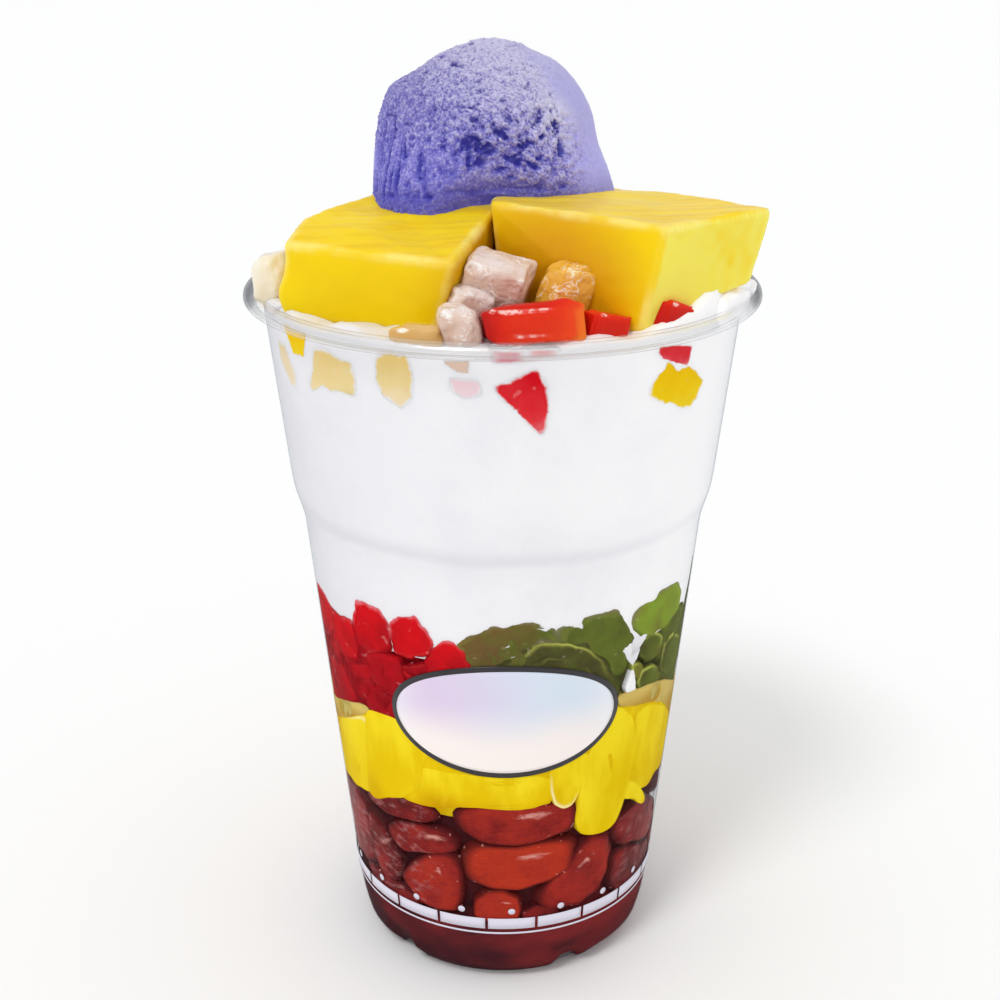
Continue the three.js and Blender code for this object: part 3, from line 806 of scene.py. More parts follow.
PALM_SUNK = in_milk(
    "palm_in_milk", "palm_fruit", evenly(srgb(230, 198, 118), srgb(235, 211, 152), srgb(240, 226, 204)), 0.5,
    glint=0.2,
)
PEACH_SUNK = in_milk(
    "peach_in_milk", "palm_fruit", evenly(srgb(222, 188, 166), srgb(230, 206, 190)), 0.5, seam_from=0.84,
    glint=0.2,
)
FRUIT_SUNK = in_milk(
    "jackfruit_in_milk", "jackfruit", evenly(srgb(246, 180, 18), srgb(248, 206, 24), srgb(250, 222, 60)), 0.6,
    seam_from=0.9, ragged=0.2, glint=0.2,
)
FAINT = in_milk(
    "faint_in_milk", "palm_fruit", evenly(srgb(234, 212, 166), srgb(238, 224, 200)), 0.7, seam_from=0.75,
    ragged=0.4,
)
VEIL = Jelly(
    "fruit_syrup", "jackfruit", evenly(srgb(190, 152, 66), srgb(216, 188, 104)), seam_from=0.8, ragged=0.3,
    melt=FRUIT, melt_below=0.5,
)
CUSTARD = CustardFinish("custard", "custard")
UBE = UbeFinish("ube_ice_cream", "ube")
FLOOR = FloorFinish("studio_floor", "")


# ------------------------------------------------------------------------------------ modelling


@dataclass(frozen=True)
class Wall:
    """The cup's wall: its outside as radius and height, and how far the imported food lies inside."""

    line: tuple[tuple[float, float], ...] = (
        (29.5, 2.2), (30.5, 6.0), (31.5, 12.2), (39.55, 94.0), (41.45, 100.4), (45.4, 136.0),
    )
    thickness: float = 0.55
    solid_inset: float = 1.12
    softness: float = 1.3

    def plain(self, height: float) -> float:
        """Radius of the wall's straight sections."""
        for (r0, z0), (r1, z1) in zip(self.line, self.line[1:]):
            if height <= z1:
                return r0 + (r1 - r0) * (height - z0) / (z1 - z0)
        return self.line[-1][0]

    def outer(self, height: float) -> float:
        """Radius outside, with the corners of the step softened."""
        steps = (-1.0, -0.5, 0.0, 0.5, 1.0)
        return sum(self.plain(height + step * self.softness) for step in steps) / len(steps)

    def inner(self, height: float) -> float:
        """Radius inside."""
        return self.outer(height) - self.thickness

    def cavity(self, height: float) -> float:
        """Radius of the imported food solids."""
        return self.plain(height) - self.solid_inset


WALL = Wall()


def on_cup(angle: float, radius: float, height: float) -> Vector:
    """A point at an angle from the front, a radius and a height."""
    turn = math.radians(angle)
    return Vector((radius * math.sin(turn), -radius * math.cos(turn), height))


class Clay:
    """A mesh in millimetres that bmesh operators and moves of its points give its shape."""

    def __init__(self) -> None:
        """Starts an empty mesh."""
        self.bm = bmesh.new()

    def layer(self, name: str) -> bmesh.types.BMLayerItem:
        """The named value on the points, made when it is first asked for."""
        made = self.bm.verts.layers.float.get(name)
        return made if made is not None else self.bm.verts.layers.float.new(name)

    def tag(self, name: str, value: Callable[[Vector], float]) -> "Clay":
        """Writes a value on every point, from its place."""
        layer = self.layer(name)
        for vert in self.bm.verts:
            vert[layer] = value(vert.co)
        return self

    def warp(self, move: Callable[[Vector], Vector]) -> "Clay":
        """Moves every point to where a function of its place says."""
        for vert in self.bm.verts:
            vert.co = move(vert.co)
        return self

    def swell(self, height: Callable[[Vector, Vector], float]) -> "Clay":
        """Moves every point along its normal by a function of its place and normal."""
        self.bm.normal_update()
        moved = [(vert, vert.co + vert.normal * height(vert.co, vert.normal)) for vert in self.bm.verts]
        for vert, place in moved:
            vert.co = place
        return self

    def take(self, other: "Clay") -> "Clay":
        """Adds another piece's mesh to this one and frees it."""
        mesh = bpy.data.meshes.new("taken")
        other.bm.to_mesh(mesh)
        other.bm.free()
        self.bm.from_mesh(mesh)
        bpy.data.meshes.remove(mesh)
        return self

    def face_out(self) -> "Clay":
        """Merges doubles and turns all faces outwards."""
        bmesh.ops.remove_doubles(self.bm, verts=self.bm.verts, dist=0.001)
        bmesh.ops.recalc_face_normals(self.bm, faces=self.bm.faces)
        return self

    def remesh(self, voxel: float, smooth: int) -> "Clay":
        """Rebuilds the surface with even small faces.

        Args:
            voxel: the size of the faces in millimetres.
            smooth: rounds of smoothing.

        Returns:
            This clay.
        """
        mesh = bpy.data.meshes.new("remeshing")
        self.bm.to_mesh(mesh)
        holder = bpy.data.objects.new("remeshing", mesh)
        bpy.context.scene.collection.objects.link(holder)
        modifier = holder.modifiers.new("voxels", "REMESH")
        modifier.mode = "VOXEL"
        modifier.voxel_size = voxel
        evaluated = holder.evaluated_get(bpy.context.evaluated_depsgraph_get())
        self.bm.clear()
        self.bm.from_mesh(evaluated.to_mesh())
        evaluated.to_mesh_clear()
        bpy.data.objects.remove(holder)
        bpy.data.meshes.remove(mesh)
        for _ in range(smooth):
            bmesh.ops.smooth_vert(
                self.bm, verts=self.bm.verts, factor=0.5, use_axis_x=True, use_axis_y=True,
                use_axis_z=True,
            )
        return self

    def show(self, name: str, finish: Finish) -> bpy.types.Object:
        """Makes the clay an object of the scene.

        Args:
            name: the object's name.
            finish: its finish.

        Returns:
            The object, at the origin and in metres.
        """
        bmesh.ops.scale(self.bm, vec=(MM, MM, MM), verts=self.bm.verts)
        mesh = bpy.data.meshes.new(name)
        self.bm.to_mesh(mesh)
        self.bm.free()
        mesh.polygons.foreach_set("use_smooth", [True] * len(mesh.polygons))
        mesh.materials.append(finish.material())
        piece = bpy.data.objects.new(name, mesh)
        bpy.context.scene.collection.objects.link(piece)
        return piece

    def place(self, name: str, finish: Finish, nodes: Sequence[str] = ()) -> None:
        """Makes the clay a piece of the part.

        Args:
            name: the piece's name.
            finish: its finish.
            nodes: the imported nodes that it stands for.
        """
        piece = self.show(name, finish)
        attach(piece, BODY)
        if nodes:
            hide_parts(*nodes)
        LOG.info("%s: %d faces", name, len(piece.data.polygons))


def turned(profile: Sequence[tuple[float, float]], steps: int, closed: bool = False) -> Clay:
    """A body spun about the cup's axis.

    Args:
        profile: radius and height of each point.
        steps: how many faces go round.
        closed: whether the last point joins the first.

    Returns:
        The spun clay, faces outwards.
    """
    clay = Clay()
    verts = [clay.bm.verts.new((0.0, -radius, height)) for radius, height in profile]
    edges = [clay.bm.edges.new(pair) for pair in zip(verts, verts[1:])]
    if closed:
        edges.append(clay.bm.edges.new((verts[-1], verts[0])))
    bmesh.ops.spin(
        clay.bm, geom=verts + edges, cent=(0, 0, 0), axis=(0, 0, 1), angle=math.tau, steps=steps,
        use_merge=True,
    )
    return clay.face_out()


def grid_ball(cuts: int) -> Clay:
    """A unit ball of square faces, from a subdivided cube."""
    clay = Clay()
    bmesh.ops.create_cube(clay.bm, size=2.0)
    bmesh.ops.subdivide_edges(clay.bm, edges=clay.bm.edges, cuts=cuts, use_grid_fill=True)
    return clay.warp(lambda p: p.normalized())


def edge_share(direction: Vector) -> float:
    """How near a direction is to the edges of a cube, from 0 to 1."""
    sizes = sorted((abs(direction.x), abs(direction.y), abs(direction.z)))
    return ease(0.62, 1.0, sizes[1] / sizes[2])


@dataclass
class Lump:
    """One soft-cornered piece: its size, how square it is, and its unevenness."""

    size: Point
    square: float
    cuts: int
    wobble: float
    grain: float
    seed: int
    tone: float | None = None
    fall: Point = SKY_FALL
    glances: Glances = SKY_GLANCE

    def clay(self) -> Clay:
        """The piece round the origin, with its tone, rim and shine written on it."""
        shape = grid_ball(self.cuts)
        shape.tag("rim", lambda p: 0.9 * edge_share(p))
        tone = pick(self.seed, 9) if self.tone is None else self.tone
        shape.tag("tone", lambda p: tone + p.dot(Vector(self.fall)))
        shift = Vector((self.seed * 3.7, self.seed * 1.9, self.seed * 5.3))
        half = Vector(self.size) / 2

        # Painted highlight: the light caught on the piece's face round each glance's direction.
        aims = [(Vector(glance[:3]).normalized(), math.cos(glance[3])) for glance in self.glances]
        shape.tag("shine", lambda p: max(ease(low, (1 + low) / 2, p.dot(aim)) for aim, low in aims))

        def form(p: Vector) -> Vector:
            uneven = 1 + self.wobble * noise.noise(p * self.grain + shift) * 2
            squared = [math.copysign(abs(c) ** self.square, c) * uneven for c in p]
            return Vector(s * h for s, h in zip(squared, half))

        return shape.warp(form)


class Outline:
    """A closed outline on the cup's wall, read as a reach in every direction from its middle."""

    def __init__(self, corners: Corners, soften: int = 3, steps: int = 96) -> None:
        """Turns corners of angle and height into reaches in millimetres.

        Args:
            corners: the outline's corners, seen from every side of its middle.
            soften: rounds of smoothing, which round the corners.
            steps: directions round the middle.
        """
        self.angle = sum(angle for angle, _ in corners) / len(corners)
        self.height = sum(height for _, height in corners) / len(corners)
        self.scale = math.radians(WALL.cavity(self.height))
        self.points = [Vector(((a - self.angle) * self.scale, h - self.height)) for a, h in corners]
        self.steps = steps
        self.reaches = [self.ray(math.tau * i / steps) for i in range(steps)]
        for _ in range(soften):
            around = [self.reaches[i - 1] + self.reaches[(i + 1) % steps] for i in range(steps)]
            self.reaches = [(2 * own + pair) / 4 for own, pair in zip(self.reaches, around)]

    def ray(self, turn: float) -> float:
        """How far the outline is from its middle in one direction."""
        ahead = Vector((math.cos(turn), math.sin(turn)))
        best = 0.0
        for start, end in zip(self.points, self.points[1:] + self.points[:1]):
            side = end - start
            cross = ahead.x * side.y - ahead.y * side.x
            if abs(cross) < 1e-9:
                continue
            along = (start.x * side.y - start.y * side.x) / cross
            share = (start.x * ahead.y - start.y * ahead.x) / cross
            if along > 0 and -1e-6 <= share <= 1 + 1e-6:
                best = max(best, along)
        return best

    def reach(self, turn: float) -> float:
        """The softened reach in any direction."""
        place = (turn % math.tau) / math.tau * self.steps
        low = int(place) % self.steps
        share = place - int(place)
        return self.reaches[low] * (1 - share) + self.reaches[(low + 1) % self.steps] * share


@dataclass
class Pebble:
    """A soft piece pressed against the inside of the cup's wall, by its outline there."""

    corners: Corners
    depth: float = 7.0
    round: float = 0.45
    press: float = 0.6
    into: float = 0.34
    grow: float = 1.0
    soften: int = 3
    cuts: int = 12
    wobble: float = 0.5
    grain: float = 0.3
    lean: float | None = None
    lit: float | None = None
    seed: int = 0
    tone: float | None = None
    slope: float = 0.0
    rise: float = 0.0
    fray: float = 0.0
    lobes: float = 2.2

    def spread(self) -> float:
        """How far past its outline the piece reaches, so that its flat face fills the outline."""
        flat = max(1 - 2 * self.press / self.depth, 0.0)
        full = (1 - flat ** (2 / self.round)) ** (-self.round / 2)
        return 1 + (full - 1) * self.grow

    def shine(self, x: float, z: float, turn: float, far: float, reach: float) -> float:
        """Strength of the light on the piece's face.

        Args:
            x: place along the wall, from the middle.
            z: the same, upwards.
            turn: its direction.
            far: its distance as a share of the outline's.
            reach: the outline's longest reach.

        Returns:
            A streak along a leaning piece, or a lit lip in one direction.
        """
        if self.lit is not None:
            return bell(far, 0.92, 0.5 / reach) * max(math.cos(turn - math.radians(self.lit)), 0.0)
        if self.lean is None:
            return 0.0
        lean = math.radians(self.lean)
        along = x * math.cos(lean) + z * math.sin(lean) - 0.25 * reach
        across = z * math.cos(lean) - x * math.sin(lean) - (0.1 + 0.08 * pick(self.seed, 5)) * reach
        return bell(along, 0.0, 0.42 * reach) * bell(across, 0.0, 0.1 * reach)

    def clay(self) -> Clay:
        """The piece in its place, with tone, rim and shine written on it."""
        outline = Outline(self.corners, self.soften)
        shape = grid_ball(self.cuts)
        tone, rim, shine = (shape.layer(name) for name in PEBBLE_LAYERS)
        shift = Vector((self.seed * 3.7, self.seed * 1.9, self.seed * 5.3))
        longest = max(outline.reaches)
        spread = self.spread()
        for vert in shape.bm.verts:
            p = vert.co
            turn = math.atan2(p.z, p.x)
            far = spread * math.hypot(p.x, p.z) ** self.round
            lobe = Vector((self.lobes * math.cos(turn), self.lobes * math.sin(turn), self.seed))
            torn = noise.fractal(lobe, 0.6, 2.1, 3)
            out = far * outline.reach(turn) * (1 + self.fray * torn)
            deep = math.copysign(abs(p.y) ** self.round, p.y) * self.depth / 2
            x, z = out * math.cos(turn), out * math.sin(turn)
            bumpy = self.wobble * noise.noise(Vector((x, deep, z)) * self.grain + shift)
            up = outline.height + z
            limit = WALL.inner(up) + self.into
            radius = min(limit + self.press - self.depth / 2 - deep + bumpy, limit)
            base = pick(self.seed, 9) if self.tone is None else self.tone
            vert[tone] = base + (self.slope * x + self.rise * z) / longest
            vert[rim] = far
            vert[shine] = self.shine(x, z, turn, far, longest) if p.y < 0 else 0.0
            vert.co = on_cup(outline.angle + x / outline.scale, radius, up)
        return shape


def tilted(spec: Spec, marks: Iterable[tuple[float, float]]) -> Corners:
    """Lays an outline on the wall.

    Args:
        spec: angle, height, length, width and tilt.
        marks: the outline's corners round its middle, as shares of its length and width.

    Returns:
        The corners on the wall.
    """
    angle, height, length, width, tilt = spec
    scale = math.radians(WALL.cavity(height))
    lean = math.radians(tilt)
    corners = []
    for across, rise in marks:
        x, z = across * length, rise * width
        side = x * math.cos(lean) - z * math.sin(lean)
        corners.append((angle + side / scale, height + x * math.sin(lean) + z * math.cos(lean)))
    return tuple(corners)


def oval_corners(spec: Spec, bend: float) -> Corners:
    """The outline of a bean.

    Args:
        spec: angle, height, length, width and tilt.
        bend: how far its ends rise, in millimetres.

    Returns:
        Its corners on the wall.
    """
    marks = []
    for i in range(OVAL_STEPS):
        turn = math.tau * i / OVAL_STEPS
        across = math.copysign(abs(math.cos(turn)) ** OVAL_SQUARE, math.cos(turn))
        rise = math.copysign(abs(math.sin(turn)) ** OVAL_SQUARE, math.sin(turn))
        marks.append((across / 2, rise / 2 + bend * (across * across - 0.5) / spec[3]))
    return tilted(spec, marks)


def chunk_corners(spec: Spec, seed: int) -> Corners:
    """The outline of an uneven block.

    Args:
        spec: angle, height, length, width and tilt.
        seed: the piece's number.

    Returns:
        Its corners on the wall.
    """
    first = seed * len(CHUNK_MARKS)
    marks = [
        (across + jitter(first + i, 1, CHUNK_ROUGH), rise + jitter(first + i, 2, CHUNK_ROUGH))
        for i, (across, rise) in enumerate(CHUNK_MARKS)
    ]
    return tilted(spec, marks)


def heap(pebbles: Iterable[Pebble]) -> Clay:
    """Many pressed pieces in one mesh."""
    clay = Clay()
    for name in PEBBLE_LAYERS:
        clay.layer(name)
    for pebble in pebbles:
        clay.take(pebble.clay())
    return clay


def disc(bottom: float, top: float, inset: float, tone: float, steps: int = 96) -> Clay:
    """The hidden middle of a layer, held in from the wall by an inset."""
    profile = [(0.0, bottom)]
    rows = 10
    for row in range(rows + 1):
        height = bottom + (top - bottom) * row / rows
        profile.append((WALL.inner(height) - inset, height))
    profile.append((0.0, top))
    clay = turned(profile, steps)
    clay.tag("tone", lambda p: tone)
    clay.tag("shine", lambda p: 0.0)
    return clay.tag("rim", lambda p: 0.0)


# ------------------------------------------------------------------------------------------ cup


@dataclass
class Cup:
    """The clear cup: its moulded feet, stepped wall and rolled rim."""

    steps: int = 216
    rim_top: float = 138.9
    rim_bottom: float = 136.0
    rim_radius: float = 49.0
    lift: float = 2.2
    leg_inner: float = 24.8
    leg_outer: float = 27.1
    leg_arc: float = 62.0
    leg_first: float = -8.0
    leg_count: int = 5
    dent: float = 1.0
    dent_height: float = 10.0
    wall_foot: float = 3.4
    row: float = 1.5

    def leg_share(self, angle: float) -> float:
        """1 on a leg, 0 between the legs, with soft flanks."""
        spacing = 360 / self.leg_count
        away = abs((angle - self.leg_first + spacing / 2) % spacing - spacing / 2)
        return 1 - ease(self.leg_arc / 2 - 2.5, self.leg_arc / 2 + 2.5, away)

    def foot(self) -> list[float]:
        """Radii of the points along the base, from its middle panel outwards."""
        return [self.leg_inner - 0.3, self.leg_inner + 0.5, 26.2, self.leg_outer, 28.4]

    def heights(self, low: float, high: float) -> list[float]:
        """Evenly spaced heights between two limits."""
        count = max(round((high - low) / self.row), 1)
        return [low + (high - low) * i / count for i in range(count + 1)]

    def sink_feet(self, inset: float) -> Callable[[Vector], Vector]:
        """The move that draws the base down into its legs and dents the wall between them.

        Args:
            inset: how far the moved surface lies inside the cup's outer face.

        Returns:
            A move for every point.
        """
        edge = WALL.line[0][0]

        def move(p: Vector) -> Vector:
            radius = math.hypot(p.x, p.y)
            if p.z > self.dent_height or radius < self.leg_inner - 0.2:
                return p
            share = self.leg_share(math.degrees(math.atan2(p.x, -p.y)))
            drop = 0.0
            if p.z < self.lift + inset + 0.01:
                outward = ease(self.leg_outer - 0.5, edge, radius)
                radius -= share * outward * (edge - self.leg_outer)
                drop = share * self.lift * ease(self.leg_inner - 0.1, self.leg_inner + 0.5, radius)
            low = ease(self.dent_height, self.lift, p.z) * ease(26.0, 28.6, radius)
            radius -= (1 - share) * self.dent * low
            drop -= (1 - share) * 0.3 * low
            flat = p.xy.normalized() * radius
            return Vector((flat.x, flat.y, p.z - drop))

        return move

    def shell(self) -> Clay:
        """The thin wall and base."""
        sheet = WALL.thickness
        base_edge = WALL.line[0][0]
        foot = self.foot()
        rows = self.heights(self.wall_foot, self.rim_bottom + 0.6)
        outer = [(0.0, self.lift)] + [(r, self.lift) for r in foot] + [(base_edge, self.lift + 0.25)]
        outer += [(WALL.outer(z), z) for z in rows]
        inner = [(WALL.outer(z) - sheet, z) for z in reversed(rows)]
        floor = self.lift + sheet
        inner += [(base_edge - sheet, floor + 0.15)] + [(r - 0.1, floor) for r in reversed(foot)]
        inner.append((0.0, floor))
        return turned(outer + inner, self.steps).warp(self.sink_feet(sheet))

    def rim(self) -> Clay:
        """The rolled rim, a curl of the same sheet."""
        top, low, out = self.rim_top, self.rim_bottom, self.rim_radius
        wall = WALL.outer(low)
        path = [
            Vector(p) for p in (
                (wall - 0.3, low - 0.4), (wall - 0.2, top - 1.6), (wall + 0.3, top - 0.8),
                (wall + 1.2, top - 0.3), (out - 1.5, top - 0.25), (out - 0.55, top - 0.7),
                (out - 0.25, top - 1.5), (out - 0.5, low + 0.7), (out - 1.3, low + 0.25),
                (out - 2.4, low + 0.35),
            )
        ]
        fine = smooth_path(path, 4)
        half = WALL.thickness / 2
        left, right = [], []
        for i, point in enumerate(fine):
            ahead = fine[min(i + 1, len(fine) - 1)] - fine[max(i - 1, 0)]
            side = Vector((-ahead.y, ahead.x)).normalized() * half
            left.append(tuple(point + side))
            right.append(tuple(point - side))
        return turned(left + right[::-1], self.steps, closed=True)

    def build(self) -> None:
        """Makes the cup's wall and rim."""
        self.shell().place("cup_wall", CLEAR, ["cup"])
        self.rim().place("cup_rim", CLEAR_RIM, ["cup"])


def smooth_path(points: Sequence[Vector], cuts: int) -> list[Vector]:
    """A smooth curve through points.

    Args:
        points: the points that it passes.
        cuts: new points between each two.

    Returns:
        The curve's points.
    """
    curve = []
    for i in range(len(points) - 1):
        before = points[max(i - 1, 0)]
        start, end = points[i], points[i + 1]
        after = points[min(i + 2, len(points) - 1)]
        for step in range(cuts):
            t = step / cuts
            curve.append(
                0.5 * (
                    2 * start + (end - before) * t + (2 * before - 5 * start + 4 * end - after) * t**2
                    + (3 * start - before - 3 * end + after) * t**3
                )
            )
    curve.append(points[-1])
    return curve


@dataclass
class CupPrint:
    """What is printed on the cup: the blank oval sticker and a generic dashed band."""

    middle_angle: float = 0.8
    middle_height: float = 63.2
    half_width: float = 22.9
    half_height: float = 12.4
    outline: float = 1.15
    film: float = 0.06
    dash_low: float = 13.9
    dash_high: float = 16.5
    dash_count: int = 20
    dash_gap: float = 0.55
    dot_height: float = 18.3
    dot_radius: float = 0.72
    line_height: float = 12.6
    line_width: float = 0.45

    def wrap(self, clay: Clay, angle: float, height: float, lift: float) -> Clay:
        """Lays a flat shape in XZ on the cup's outside.

        Args:
            clay: the shape, with its thickness towards +Y.
            angle: where its middle goes.
            height: the same, upwards.
            lift: how far its back is from the wall.

        Returns:
            The wrapped clay.
        """
        base = WALL.outer(height)

        def move(p: Vector) -> Vector:
            up = height + p.z
            around = angle + math.degrees(p.x / base)
            return on_cup(around, WALL.outer(up) + lift + p.y, up)

        return clay.warp(move).face_out()

    def oval(self, width: float, height: float, thick: float) -> Clay:
        """A flat oval film of small faces."""
        clay = Clay()
        bmesh.ops.create_grid(clay.bm, x_segments=48, y_segments=28, size=1.0)
        clay.warp(
            lambda p: Vector((
                p.x * math.sqrt(1 - p.y**2 / 2) * width, 0.0, p.y * math.sqrt(1 - p.x**2 / 2) * height
            ))
        )
        return self.thicken(clay, thick)

    @staticmethod
    def thicken(clay: Clay, thick: float) -> Clay:
        """Gives a flat film its thickness."""
        grown = bmesh.ops.extrude_face_region(clay.bm, geom=clay.bm.faces)
        raised = [item for item in grown["geom"] if isinstance(item, bmesh.types.BMVert)]
        bmesh.ops.translate(clay.bm, vec=(0.0, thick, 0.0), verts=raised)
        return clay

    def sticker(self) -> None:
        """The pearly oval and its dark outline."""
        place = (self.middle_angle, self.middle_height)
        back = self.oval(self.half_width, self.half_height, self.film)
        self.wrap(back, *place, 0.02).place("sticker_outline", DARK_INK, ["cup"])
        face = self.oval(self.half_width - self.outline, self.half_height - self.outline, self.film)
        self.wrap(face, *place, self.film + 0.03).place("sticker_face", PEARL, ["cup"])

    def dash(self, angle: float) -> Clay:
        """One dash of the band."""
        length = math.tau * WALL.outer(self.dash_low) / self.dash_count - self.dash_gap
        clay = Clay()
        bmesh.ops.create_grid(clay.bm, x_segments=10, y_segments=2, size=0.5)
        tall = self.dash_high - self.dash_low
        clay.warp(lambda p: Vector((p.x * length, 0.0, p.y * tall)))
        height = (self.dash_low + self.dash_high) / 2
        return self.wrap(self.thicken(clay, self.film), angle, height, 0.03)

    def dot(self, angle: float) -> Clay:
        """One dot over the band."""
        clay = Clay()
        bmesh.ops.create_circle(clay.bm, cap_ends=True, segments=20, radius=self.dot_radius)
        clay.warp(lambda p: Vector((p.x, 0.0, p.y)))
        return self.wrap(self.thicken(clay, self.film), angle, self.dot_height, 0.03)

    def band(self) -> None:
        """The dashes, a dot over each and the thin line below."""
        clay = Clay()
        spacing = 360 / self.dash_count
        for i in range(self.dash_count):
            clay.take(self.dash(i * spacing + 3.0))
            clay.take(self.dot(i * spacing + 3.0))
        low = self.line_height
        high = low + self.line_width
        out = self.film + 0.03
        line = [(WALL.outer(low) + 0.03, low), (WALL.outer(low) + out, low)]
        line += [(WALL.outer(high) + out, high), (WALL.outer(high) + 0.03, high)]
        clay.take(turned(line, 216, closed=True))
        clay.place("printed_band", WHITE_INK, ["cup"])

    def build(self) -> None:
        """Makes the sticker and the band."""
        self.sticker()
        self.band()


# --------------------------------------------------------------------------------------- layers


@dataclass
class BeanLayer:
    """Large red beans in dark syrup."""

    syrup_top: float = 15.0
    core_top: float = 41.0
    recess: float = 1.6
    lap: float = 0.15
    # Each front bean: its tone, the direction of its painted highlight streak or none, and its outline.
    front: tuple[tuple[float, float | None, Corners], ...] = (
        (0.4, None, ((-76, 36), (-64, 37), (-56, 34.6), (-53, 28), (-56, 20.4), (-66, 18), (-78, 19),
            (-80, 28))),
        (0.3, 40.0, ((-56, 34), (-49, 33.2), (-41, 29), (-38.4, 24), (-42, 19.6), (-50, 18.4), (-55, 23),
            (-58, 29))),
        (0.2, None, ((-58, 38), (-44, 40.8), (-34, 42.4), (-25, 42), (-21.8, 40), (-23, 38), (-32, 36.8),
            (-44, 35.4))),
        (0.5, 8.0, ((-47, 31.6), (-38, 35.8), (-28, 36.8), (-20, 36.8), (-15.8, 35), (-15.4, 32.4),
            (-20, 31), (-30, 29.4), (-41, 28))),
        (0.65, 55.0, ((-40, 22), (-34, 26.4), (-27, 30), (-20, 31.6), (-15.8, 30.6), (-14, 26),
            (-14.8, 20.6), (-17, 16.8), (-26, 16), (-36, 17))),
        (0.6, 3.0, ((-17, 41.4), (-12, 43.6), (0, 44.4), (14, 44), (24.6, 43), (26, 38.6), (22.6, 36),
            (14, 34.9), (4, 34.2), (-6, 34.8), (-14, 37))),
        (0.95, 2.0, ((-13.6, 32), (-9.6, 34.3), (4, 34.1), (16, 34.8), (24.6, 34.2), (26, 31), (25, 27),
            (18, 24.6), (6, 23), (-4, 23.3), (-11.6, 25.4), (-14, 28.5))),
        (0.6, 42.0, ((11.4, 20.2), (15, 24), (22, 27), (27, 32), (33, 33.8), (39.4, 32.4), (42.6, 28),
            (42, 22.6), (38, 19), (30, 17), (17, 16.6))),
        (0.85, 6.0, ((-11, 16), (-10.6, 20.6), (-6, 23.1), (0, 23.4), (5.6, 21.5), (7, 18.4), (5, 15.4),
            (-4, 15))),
        (0.35, None, ((40, 35), (52, 36), (62, 35), (73, 30.4), (78, 24), (70, 22), (58, 25), (47, 27.4),
            (42, 31))),
        (0.15, None, ((43, 26.6), (52, 25.8), (64, 22.8), (76, 20), (76, 15.6), (60, 15), (46, 15.4),
            (41.6, 20))),
        (0.25, None, ((-42, 19.6), (-34, 18.6), (-30, 15), (-44, 13.6), (-60, 14), (-66, 18), (-54, 19.6))),
        (0.3, None, ((6, 17.6), (12, 19.4), (20, 17.6), (24, 14), (8, 13.6))),
    )
    rows: tuple[float, ...] = (19.6, 28.6, 37.2)
    back: int = 8
    back_first: float = 92.0
    back_step: float = 24.0
    row_shift: float = 10.0
    length: float = 19.0
    width: float = 10.0
    depth: float = 9.0
    press: float = 0.8
    wobble: float = 0.7
    back_seed: int = 30

    def beans(self) -> Clay:
        """All beans: the front ones by their outlines, the others by rows."""
        depth, press, wobble = self.depth, self.press, self.wobble
        pebbles = []
        for i, (tone, lean, corners) in enumerate(self.front):
            into = 0.4 - 0.03 * (i % 4)
            pebbles.append(
                Pebble(
                    corners, depth, 0.6, press, into, 0.5, seed=i + 1, wobble=wobble, cuts=20, lean=lean,
                    tone=tone,
                )
            )
        for level, row in enumerate(self.rows):
            for i in range(self.back):
                n = level * self.back + i + self.back_seed
                angle = self.back_first + (level % 2) * self.row_shift + i * self.back_step
                length, tilt = self.length + jitter(n, 5, 3), jitter(n, 6, 30)
                spec = (angle, row + jitter(n, 4, 1.2), length, self.width, tilt)
                corners = oval_corners(spec, jitter(n, 2, 1.2))
                # The painted highlight streak runs along the bean's tilt on two beans in three.
                lean = tilt if n % 3 else None
                into = 0.42 - 0.04 * (n % 3)
                pebbles.append(
                    Pebble(corners, depth, 0.62, press, into, 0.55, seed=n, wobble=wobble, cuts=16, lean=lean)
                )
        return heap(pebbles)

    def syrup(self) -> Clay:
        """The syrup: out to the wall at the bottom, behind the beans above."""
        floor = CUP.lift + self.lap
        profile = [(0.0, floor)] + [(r - self.lap, floor) for r in CUP.foot()]
        for z in CUP.heights(CUP.wall_foot, self.core_top):
            back = self.recess * ease(self.syrup_top - 1, self.syrup_top + 2.5, z)
            profile.append((WALL.outer(z) - self.lap - back, z))
        profile.append((0.0, self.core_top))
        return turned(profile, 180).warp(CUP.sink_feet(self.lap))

    def build(self) -> None:
        """Makes the beans and their syrup."""
        self.beans().place("beans", BEAN, ["red_beans"])
        self.syrup().place("syrup", SYRUP, ["red_beans"])


